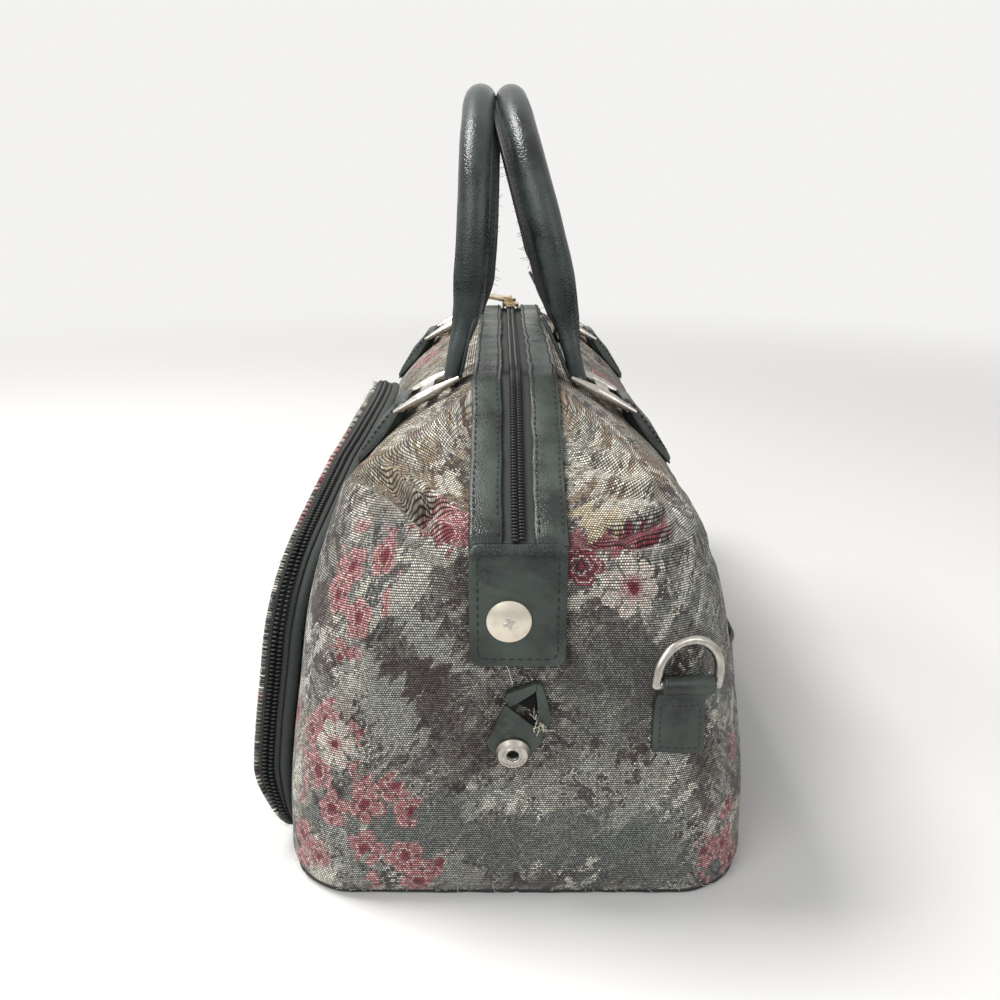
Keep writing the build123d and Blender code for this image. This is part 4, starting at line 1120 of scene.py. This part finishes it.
handle = {
    "place": 88.0, "pinOut": 25.3, "pinHeight": 175.0, "apexHeight": 282.5, "apexOut": {"front": 16.2, "back": -3.6},
    "bend": 60.0,
    # height above the pin, half width along the bag, half thickness
    "foot": [(-3.4, 7.2, 0.7), (-2.9, 8.2, 1.8), (-1.6, 8.5, 2.9), (0.0, 8.5, 3.4), (6.0, 8.5, 3.3), (12.0, 7.7, 3.6),
             (18.0, 6.4, 4.6), (24.0, 5.9, 5.6), (32.0, 6.2, 6.3), (40.0, 6.4, 6.7), (52.0, 6.5, 6.7)],
    # reach of the bow, height where it is full, share lost at the top
    "bow": {"front": (4.4, 32.0, 0.55), "back": (2.2, 50.0, 0.0)},
    "seamTurn": 76.0, "seamReach": 3.0, "seamHalf": 0.95, "seamFrom": 26.0, "seamFade": (24.0, 40.0), "seamSink": 2.6,
    "wobble": 0.3, "wobbleSize": 14.0,
    # inner tail: height above the pin, place inwards, half width
    "tail": [(1.0, 3.3, 7.6), (8.0, 4.3, 7.4), (14.0, 5.2, 7.0), (20.0, 6.2, 6.2), (25.0, 7.4, 4.6), (27.0, 7.9, 2.8)],
    "tailThick": 1.5, "frays": 60, "seed": 12,
}


def handlePath(apex):
    # in the plane of the handle: along the bag, height above the pins
    h = handle
    foot = np.concatenate([np.linspace(-3.4, 0, 9), np.linspace(0, apex - h["bend"], 34)[1:]])
    turn = np.linspace(0, math.pi / 2, 22)[1:]
    arc = np.stack([h["place"] - h["bend"] + h["bend"] * np.cos(turn), apex - h["bend"] + h["bend"] * np.sin(turn)], -1)
    leg = np.stack([np.full(len(foot), h["place"]), foot], -1)
    top = np.stack([np.linspace(h["place"] - h["bend"], 0, 14)[1:], np.full(13, apex)], -1)
    half = np.concatenate([leg, arc, top])
    return np.concatenate([half, (half * np.array([-1, 1]))[-2::-1]])


def shapeHandles():
    h = handle
    for name, side in (("front", -1), ("back", 1)):
        lean = math.atan2(h["pinOut"] - h["apexOut"][name], h["apexHeight"] - h["pinHeight"])
        apex = (h["apexHeight"] - h["pinHeight"]) / math.cos(lean)
        rise = np.array([0, -side * math.sin(lean), math.cos(lean)])
        outward = np.array([0, side * math.cos(lean), math.sin(lean)])
        plane = handlePath(apex)
        pin = np.array([0, side * h["pinOut"], h["pinHeight"]])
        path = pin + plane[:, :1] * np.array([1.0, 0, 0]) + plane[:, 1:] * rise
        reach, full, lost = h["bow"][name]
        path[:, 1] += reach * smoothStep(0, full, plane[:, 1]) * (1 - lost * smoothStep(full + 15, apex, plane[:, 1]))
        foot = np.array(h["foot"])
        fromPin = np.where(plane[:, 1] < foot[-1, 0], plane[:, 1], foot[-1, 0])
        wide = np.interp(fromPin, foot[:, 0], foot[:, 1])
        thick = np.interp(fromPin, foot[:, 0], foot[:, 2])
        wander = h["wobble"] * softNoise(path, h["wobbleSize"], 20 + side)
        a = np.linspace(0, 2 * math.pi, 25)[:-1]
        flatter = np.clip((wide - thick) / 4, 0, 1)[:, None]
        power = 1 - 0.45 * flatter  # the folded end is flatter than the round grip
        cosine, sine = np.cos(a)[None], np.sin(a)[None]
        section = np.stack([(thick + wander)[:, None] * np.sign(cosine) * np.abs(cosine) ** power,
                            (wide + wander)[:, None] * np.sign(sine) * np.abs(sine) ** power], -1)
        tube = sweepProfile(path, outward, section)
        makePiece(f"{name}_handle_leather", *tube, finish["leatherSoft"], body=f"{name}_handle", slot="leather",
                  replaces=(f"{name}_handle",))
        _, across, up = pathFrames(path, outward)
        grip = plane[:, 1] > h["seamFrom"]
        turn = math.radians(h["seamTurn"])
        seamWay = up * math.cos(turn) - across * math.sin(turn)
        seamSide = up * math.sin(turn) + across * math.cos(turn)
        reach = np.hypot(wide * math.cos(turn), thick * math.sin(turn))
        fade = smoothStep(*h["seamFade"], plane[:, 1])  # the seam sinks into the grip at both ends
        seamLine = path + seamWay * (reach + h["seamReach"] / 2 - 0.5 - h["seamSink"] * (1 - fade))[:, None]
        strip = roundProfile(h["seamHalf"], h["seamReach"] / 2 + 0.5, 0.6, 4)
        ring = seamLine[:, None] + seamSide[:, None] * strip[None, :, :1] + seamWay[:, None] * strip[None, :, 1:]
        ring = ring[grip]
        faces = [tuple(f) for f in gridFaces(len(ring), len(strip), wrap=True)]
        makePiece(f"{name}_handle_seam", ring.reshape(-1, 3), faces, finish["edge"], body=f"{name}_handle",
                  slot="leather")
        rows = [stitchRow((seamLine + hand * seamSide * h["seamHalf"])[grip], (0, -side, 0.2), 2.8, 2.0, 0.3)
                for hand in (-1, 1)]
        makePiece(f"{name}_handle_stitches", *joinParts(rows), finish["stitch"], body=f"{name}_handle", slot="leather")
        tails = []
        place, inward, half = (np.array(c) for c in zip(*h["tail"]))
        fine = np.linspace(place[0], place[-1], 22)
        for end in (-1, 1):
            strip = pin + np.array([end * h["place"], 0, 0]) + fine[:, None] * rise
            strip = strip - np.interp(fine, place, inward)[:, None] * outward
            section = [roundProfile(w, h["tailThick"] / 2, 0.9, 4) for w in np.interp(fine, place, half)]
            tails.append(sweepProfile(strip, (1, 0, 0), section))
        makePiece(f"{name}_handle_tails", *joinParts(tails), finish["leatherSoft"], body=f"{name}_handle",
                  slot="leather")
        draw = random.Random(h["seed"] + side)
        marks = [draw.choice(np.flatnonzero(grip)) for _ in range(h["frays"])]
        starts = [seamLine[m] + seamWay[m] * 1.4 for m in marks]
        headings = [seamWay[m] + np.array([draw.uniform(-0.8, 0.8) for _ in range(3)]) for m in marks]
        makePiece(f"{name}_handle_frays", *threads(starts, headings, h["seed"] + side, length=(1.5, 5.0), radius=0.08),
                  finish["darkFray"], body=f"{name}_handle", slot="leather")


shapeHandles()
print("handles made")


# Ring tabs: a leather strap folded round the bar of each D-ring, sewn to the back corners

ringTab = {
    "bar": (187.23, 57.43, 89.0), "tilt": 9.0, "facing": (0.951, 0.309),  # facing: along and out
    "half": 9.6, "drop": 28.0, "thick": 1.9, "loop": 3.5, "inset": 2.2, "stitchTop": -9.5,
    "loopRise": 3.6, "riseFrom": -10.0, "riseTo": -1.0,
}


def onBackCorner(across, down, lift, sign):
    # a place on the rounded back corner: across and down from the bar's middle
    t = ringTab
    tilt = math.radians(t["tilt"])
    around = across * math.cos(tilt) + down * math.sin(tilt)
    z = t["bar"][2] - across * math.sin(tilt) + down * math.cos(tilt)
    length, width, corner = sectionAt(z)
    length0, width0, corner0 = sectionAt(t["bar"][2])
    start = math.atan2(t["bar"][1] - (width0 - corner0), t["bar"][0] - (length0 - corner0))
    turn = start + around / (corner + lift)
    x = length - corner + (corner + lift) * np.cos(turn)
    y = width - corner + (corner + lift) * np.sin(turn)
    return np.stack([sign * x, y, z], -1)


def tabRise(down):
    # the tab rises to the loop round the bar
    return ringTab["loopRise"] * smoothStep(ringTab["riseFrom"], ringTab["riseTo"], down)


def shapeRingTabs():
    t = ringTab
    half, drop = t["half"], t["drop"]
    outline = roundOutline([(-half, 0.0), (-half, -drop), (half, -drop), (half, 0.0)], 1.2)
    scales = (1.0, 1.0, 0.995, 0.98, 0.94, 0.86, 0.76, 0.64, 0.5, 0.36, 0.22, 0.08)
    heights = (0.1, t["thick"] - 0.6, t["thick"] - 0.2, t["thick"]) + (t["thick"],) * 8
    flat, faces = padShape(outline, scales, heights)
    lift = flat[:, 2] + tabRise(flat[:, 1])
    inset, low, high = half - t["inset"], -drop + t["inset"], t["stitchTop"]
    border = np.array([(-inset, high), (-inset, low), (inset, low), (inset, high), (-inset, high)])
    steps = np.linspace(0, 1, 16)[:-1, None]
    border = np.concatenate([a + (b - a) * steps for a, b in zip(border, border[1:])])
    bar = np.array(t["bar"])
    tilt = math.radians(t["tilt"])
    alongWay, outWay = t["facing"]
    for name, sign in (("near", 1), ("far", -1)):
        patch = onBackCorner(flat[:, 0], flat[:, 1], lift, sign)
        turned = faces if sign > 0 else [tuple(reversed(f)) for f in faces]
        out = np.array([alongWay * sign, outWay, 0.0])
        axis = np.array([-outWay * sign * math.cos(tilt), alongWay * math.cos(tilt), -math.sin(tilt)])
        rod = bar * np.array([sign, 1, 1]) + np.linspace(-half, half, 15)[:, None] * axis
        loop = sweepProfile(rod, out, ringProfile(t["loop"], 20))
        makePiece(f"ring_tab_leather_{name}", *joinParts([(patch, turned), loop]), finish["leather"], slot="leather",
                  replaces=(f"ring_tab_{name}",))
        row = onBackCorner(border[:, 0], border[:, 1], t["thick"] + tabRise(border[:, 1]) - 0.05, sign)
        makePiece(f"ring_tab_stitches_{name}", *stitchRow(row, out, 2.6, 1.9, 0.34), finish["stitch"], slot="leather")


shapeRingTabs()
print("ring tabs made")


# Front pocket: a gusset of roll, zip tapes and teeth round a cloth panel

pocket = {
    "half": 155.0, "low": 4.0, "sideTop": 112.0, "top": 146.0, "upperCorner": 42.0, "lowerCorner": 13.0,
    "pinch": (2.0, 36.0, 0.25),  # heights where the gusset narrows, and its least share
    "pucker": 0.35, "puckerSize": 7.0, "lining": (9.1, 1.9), "liningHalf": (2.4, 0.5),
    "roll": (0.3, 4.9, 5.2), "innerTape": (4.7, 7.0, 2.6), "outerTape": (11.2, 13.1, 2.6),  # from, to, depth inwards
    "teeth": (7.9, 10.3), "toothPitch": 1.7, "toothHalf": (1.5, 0.55, 1.3), "toothOut": -0.1,
    "panel": 14.2, "crown": 1.0, "swell": 0.55, "swellSize": 30.0, "hem": 1.15, "ease": 1.02, "frays": 260, "seed": 17,
}


def pocketOutline(step=2.4):
    # outline seen from the front, starting at the bottom and running to the near end
    p = pocket
    rise, half = p["top"] - p["sideTop"], p["half"]
    radius = (half**2 + rise**2) / (2 * rise)
    centre = p["top"] - radius
    reach = radius - p["upperCorner"]
    cornerX = half - p["upperCorner"]
    cornerZ = centre + math.sqrt(reach**2 - cornerX**2)
    topTurn = math.atan2(cornerZ - centre, cornerX)
    low = np.linspace(-math.pi / 2, 0, 14)
    high = np.linspace(0, topTurn, 20)
    crown = np.linspace(topTurn, math.pi / 2, 40)
    near, foot = [(0.0, p["low"])], p["lowerCorner"]
    near += [(half - foot + foot * math.cos(a), p["low"] + foot * (1 + math.sin(a))) for a in low]
    near += [(cornerX + p["upperCorner"] * math.cos(a), cornerZ + p["upperCorner"] * math.sin(a)) for a in high]
    near += [(radius * math.cos(a), centre + radius * math.sin(a)) for a in crown[1:]]
    loop = np.array(near + [(-x, z) for x, z in near[-2:0:-1]])
    return densify(loop, step)


def pinchAt(height):
    # the gusset grows thin towards the foot of the bag
    low, high, least = pocket["pinch"]
    return least + (1 - least) * smoothStep(low, high, height)


def onFront(outline, level):
    stand = level * pinchAt(outline[:, 1])
    return np.stack([outline[:, 0], -(bodyWidthAt(outline[:, 1]) + stand), outline[:, 1]], -1)


def shapePocket():
    p = pocket
    outline = pocketOutline()
    path = onFront(outline, 0.0)
    pucker = p["pucker"] * softNoise(path, p["puckerSize"], 31)
    gussets = (("roll", "pocket_roll", "roll", 0.95), ("innerTape", "pocket_tape_inner", "tape", 0.6),
               ("outerTape", "pocket_tape_outer", "tape", 0.6))
    for key, name, look, wall in gussets:
        low, high, depth = p[key]
        section = roundProfile((high - low) / 2, depth / 2, wall, 5) + np.array([(low + high) / 2, depth / 2])
        section = np.broadcast_to(section, (len(path),) + section.shape).copy()
        section[..., 1] -= pucker[:, None] * (1.0 if key == "roll" else 0.4)
        section[..., 0] *= pinchAt(outline[:, 1])[:, None]
        makePiece(f"{name}_cloth", *sweepProfile(path, (0, -1, 0), section, closed=True), finish[look], slot="zip_tape",
                  replaces=(name,))
    teeth = []
    for row, level in enumerate(p["teeth"]):
        ring = onFront(np.vstack([outline, outline[:1]]), level)
        points, along = evenPath(ring, p["toothPitch"])
        points = points + along * (p["toothPitch"] / 2) * row
        out = np.broadcast_to((0.0, -1.0, 0.0), along.shape)
        inward = np.cross(out, along)
        inward /= np.linalg.norm(inward, axis=1)[:, None]
        axes = np.stack([out, along, inward], 1)
        teeth.append(blobs(points - inward * p["toothOut"], axes, p["toothHalf"], rings=4, sides=7))
    makePiece("pocket_teeth", *joinParts(teeth), finish["coil"], slot="zip_coil", replaces=("pocket_coil",))
    lining = roundProfile(*p["liningHalf"], 0.5, 4) + np.array(p["lining"])
    lining = np.broadcast_to(lining, (len(path),) + lining.shape).copy()
    lining[..., 0] *= pinchAt(outline[:, 1])[:, None]
    strip = sweepProfile(path, (0, -1, 0), lining, closed=True)
    makePiece("pocket_zip_lining", *strip, finish["tape"], slot="zip_tape")
    shares = np.concatenate([np.linspace(1, 0.9, 5), np.linspace(0.87, 0.04, 34)])
    middle = np.array([0.0, (p["low"] + p["top"]) / 2])
    rings = [middle + (outline - middle) * s for s in shares] + [middle[None]]
    flat = np.concatenate(rings)
    edge = np.concatenate([np.full(len(r), s) for r, s in zip(rings, list(shares) + [0])])
    level = p["panel"] - 1.6 * smoothStep(0.95, 1.0, edge) + p["crown"] * (1 - edge**4) - 0.4
    level = level + p["swell"] * softNoise(np.c_[flat, 0 * flat[:, 0]], p["swellSize"], 33) * (1 - edge**6)
    verts = onFront(flat, level)
    count = len(outline)
    faces = [tuple(f) for f in gridFaces(len(shares), count, wrap=True)]
    last = (len(shares) - 1) * count
    faces += [(last + i, last + (i + 1) % count, len(verts) - 1) for i in range(count)]
    panel = makePiece("pocket_panel_cloth", verts, faces, finish["tapestry"], slot="tapestry",
                      replaces=("pocket_panel",), flat=np.c_[flat[:, 0] - flatMiddle, flat[:, 1], 0 * flat[:, 0]])
    rim = onFront(outline, p["panel"] - 0.6)
    ring = ringProfile(p["hem"], 9, lift=0.6)
    hemFlat = np.c_[outline[:, 0] - flatMiddle, outline[:, 1], 0 * outline[:, 0]]
    hem = makePiece("pocket_panel_hem", *sweepProfile(rim, (0, -1, 0), ring, closed=True), finish["tapestry"],
                    slot="tapestry", flat=np.repeat(hemFlat, len(ring), 0))
    draw = random.Random(p["seed"])
    marks = [draw.randrange(count) for _ in range(p["frays"])]
    away = outline - middle
    away /= np.linalg.norm(away, axis=1)[:, None]
    starts = [rim[m] + np.array([away[m, 0] * 0.5, -0.6, away[m, 1] * 0.5]) for m in marks]
    headings = [np.array([away[m, 0] * 0.5, -draw.uniform(0.1, 0.7), away[m, 1] * 0.5 - 0.2]) for m in marks]
    loose = threads(starts, headings, p["seed"], length=(1.0, 3.2), radius=0.1)
    frays = makePiece("pocket_frays", *loose, finish["fray"], slot="tapestry")


shapePocket()
print("front pocket made")


# Rear sleeve: a cloth band sewn down at its two ends

rearSleeve = {
    "half": 139.0, "low": 26.0, "high": 75.0, "stand": 7.0, "rest": 0.7, "restFrom": (0.86, 0.99), "slack": 6.0,
    "swell": 0.5, "swellSize": 24.0, "hem": 1.1, "hemTall": 1.7,
}


def sleeveStand(along):
    s = rearSleeve
    share = np.abs(along) / s["half"]
    return s["rest"] + (s["stand"] - s["rest"]) * (1 - smoothStep(*s["restFrom"], share))


def shapeRearSleeve():
    s = rearSleeve
    along = np.linspace(-s["half"], s["half"], 130)
    height = np.linspace(s["low"], s["high"], 22)
    x, z = np.meshgrid(along, height)
    swell = s["swell"] * softNoise(np.stack([x, z, 0 * x], -1).reshape(-1, 3), s["swellSize"], 40).reshape(x.shape)
    stand = sleeveStand(x) + swell * (sleeveStand(x) > 2)
    verts = np.stack([x, bodyWidthAt(z) + stand, z], -1)
    flat = np.stack([flatMiddle - x, z, 0 * x], -1)
    band = makePiece("rear_sleeve_cloth", verts.reshape(-1, 3), gridFaces(*x.shape)[:, ::-1], finish["tapestry"],
                     slot="tapestry", replaces=("rear_sleeve",), flat=flat.reshape(-1, 3))
    ring = ringProfile(s["hem"], 8, s["hemTall"])
    outer = np.array([0, 0.2, 0])  # the end bindings lie over the long ones
    edges = [verts[0], verts[-1], verts[:, 0] + outer, verts[:, -1] + outer]
    hems = [sweepProfile(edge, (0, 1, 0), ring) for edge in edges]
    hem = makePiece("rear_sleeve_binding", *joinParts(hems), finish["edge"], slot="leather")


shapeRearSleeve()
print("rear sleeve made")


# Solids that keep their own shape

keptSolids = {
    "tape": ("zip_tape_front", "zip_tape_back"),
    "baseCloth": ("base_panel",),
    "board": ("base_board",),
    "cap": ("snap_caps",),
    "nickel": ("snap_sockets", "front_link_near", "front_link_far", "back_link_near", "back_link_far",
               "front_handle_rivets", "back_handle_rivets", "d_ring_near", "d_ring_far"),
    "brass": ("zip_slider", "zip_pull", "pocket_slider", "pocket_pull"),
}
for look, names in keptSolids.items():
    for name in names:
        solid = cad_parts[name]
        if not solid.material_slots:
            solid.data.materials.append(finish[look])
        for materialSlot in solid.material_slots:
            materialSlot.material = finish[look]
print("kept solids finished")


# Stage: pale floor, soft light and the camera

stage = {
    "floor": 0.8, "floorTint": (1.0, 0.995, 0.985), "size": 8.0,
    "fade": (0.45, 1.5),  # where the floor turns into the backdrop
    "camera": (0.489, -0.006, 0.256), "pitch": 71.5, "lens": 36.0,
    # place, aim, size, power, colour
    "lamps": [((-0.1, -0.75, 1.45), (0, 0, 0.1), 0.6, 25.0, (1.0, 0.98, 0.95)),
              ((1.1, -0.7, 0.9), (0, 0, 0.12), 0.9, 7.5, (0.98, 0.99, 1.0)),
              ((0.9, 0.95, 0.8), (0, 0, 0.12), 0.7, 3.6, (0.96, 0.98, 1.0))],
    "world": 0.38, "backdrop": 0.9, "backdropTint": (1.0, 0.99, 0.975),
}


def shapeStage():
    s = stage
    corners = [(x * s["size"], y * s["size"], 0.0) for x, y in ((-1, -1), (1, -1), (1, 1), (-1, 1))]
    mesh = bpy.data.meshes.new("paleFloor")
    mesh.from_pydata(corners, [], [(0, 1, 2, 3)])
    material, desk, shader = newMaterial("palePaper")
    away = desk.vector("LENGTH", desk.add("ShaderNodeTexCoord").outputs["Object"])
    far = desk.step(*s["fade"], away)
    black = (0.0, 0.0, 0.0, 1.0)
    desk.put(shader.inputs["Base Color"], desk.blend(far, shade(s["floorTint"], s["floor"]), black))
    glow = desk.times(far, desk.add("ShaderNodeLightPath").outputs["Is Camera Ray"])
    desk.put(shader.inputs["Emission Color"], desk.blend(glow, black, shade(s["backdropTint"], s["backdrop"])))
    shader.inputs["Emission Strength"].default_value = 1.0
    shader.inputs["Roughness"].default_value = 0.9
    shader.inputs["Specular IOR Level"].default_value = 0.0
    mesh.materials.append(material)
    floor = bpy.data.objects.new("paleFloor", mesh)
    bpy.context.scene.collection.objects.link(floor)
    for number, (place, aim, size, power, colour) in enumerate(s["lamps"]):
        light = bpy.data.lights.new(f"softbox{number}", "AREA")
        light.size, light.energy, light.color = size, power, colour
        lamp = bpy.data.objects.new(f"softbox{number}", light)
        lamp.location = place
        lamp.rotation_euler = (Vector(aim) - Vector(place)).to_track_quat("-Z", "Y").to_euler()
        bpy.context.scene.collection.objects.link(lamp)
    world = bpy.data.worlds.new("studioAir")
    world.use_nodes = True
    desk = NodeDesk(world.node_tree)
    air = [n for n in world.node_tree.nodes if n.type == "BACKGROUND"][0]
    air.inputs[0].default_value = shade(s["backdropTint"], 1.0)
    rays = desk.add("ShaderNodeLightPath").outputs
    mirrored = desk.math("MAXIMUM", rays["Is Glossy Ray"], rays["Is Transmission Ray"])
    seen = desk.math("MAXIMUM", rays["Is Camera Ray"], mirrored)
    desk.put(air.inputs[1], desk.math("MULTIPLY_ADD", seen, s["backdrop"] - s["world"], s["world"]))
    bpy.context.scene.world = world
    eye = bpy.data.cameras.new("photoEye")
    eye.lens, eye.sensor_width = s["lens"], 36.0
    camera = bpy.data.objects.new("photoEye", eye)
    camera.location = s["camera"]
    camera.rotation_euler = (math.radians(s["pitch"]), 0, math.radians(90))
    bpy.context.scene.collection.objects.link(camera)
    bpy.context.scene.camera = camera
    bpy.context.scene.view_settings.view_transform = "Standard"


shapeStage()
print("stage set")

bpy.context.view_layer.update()
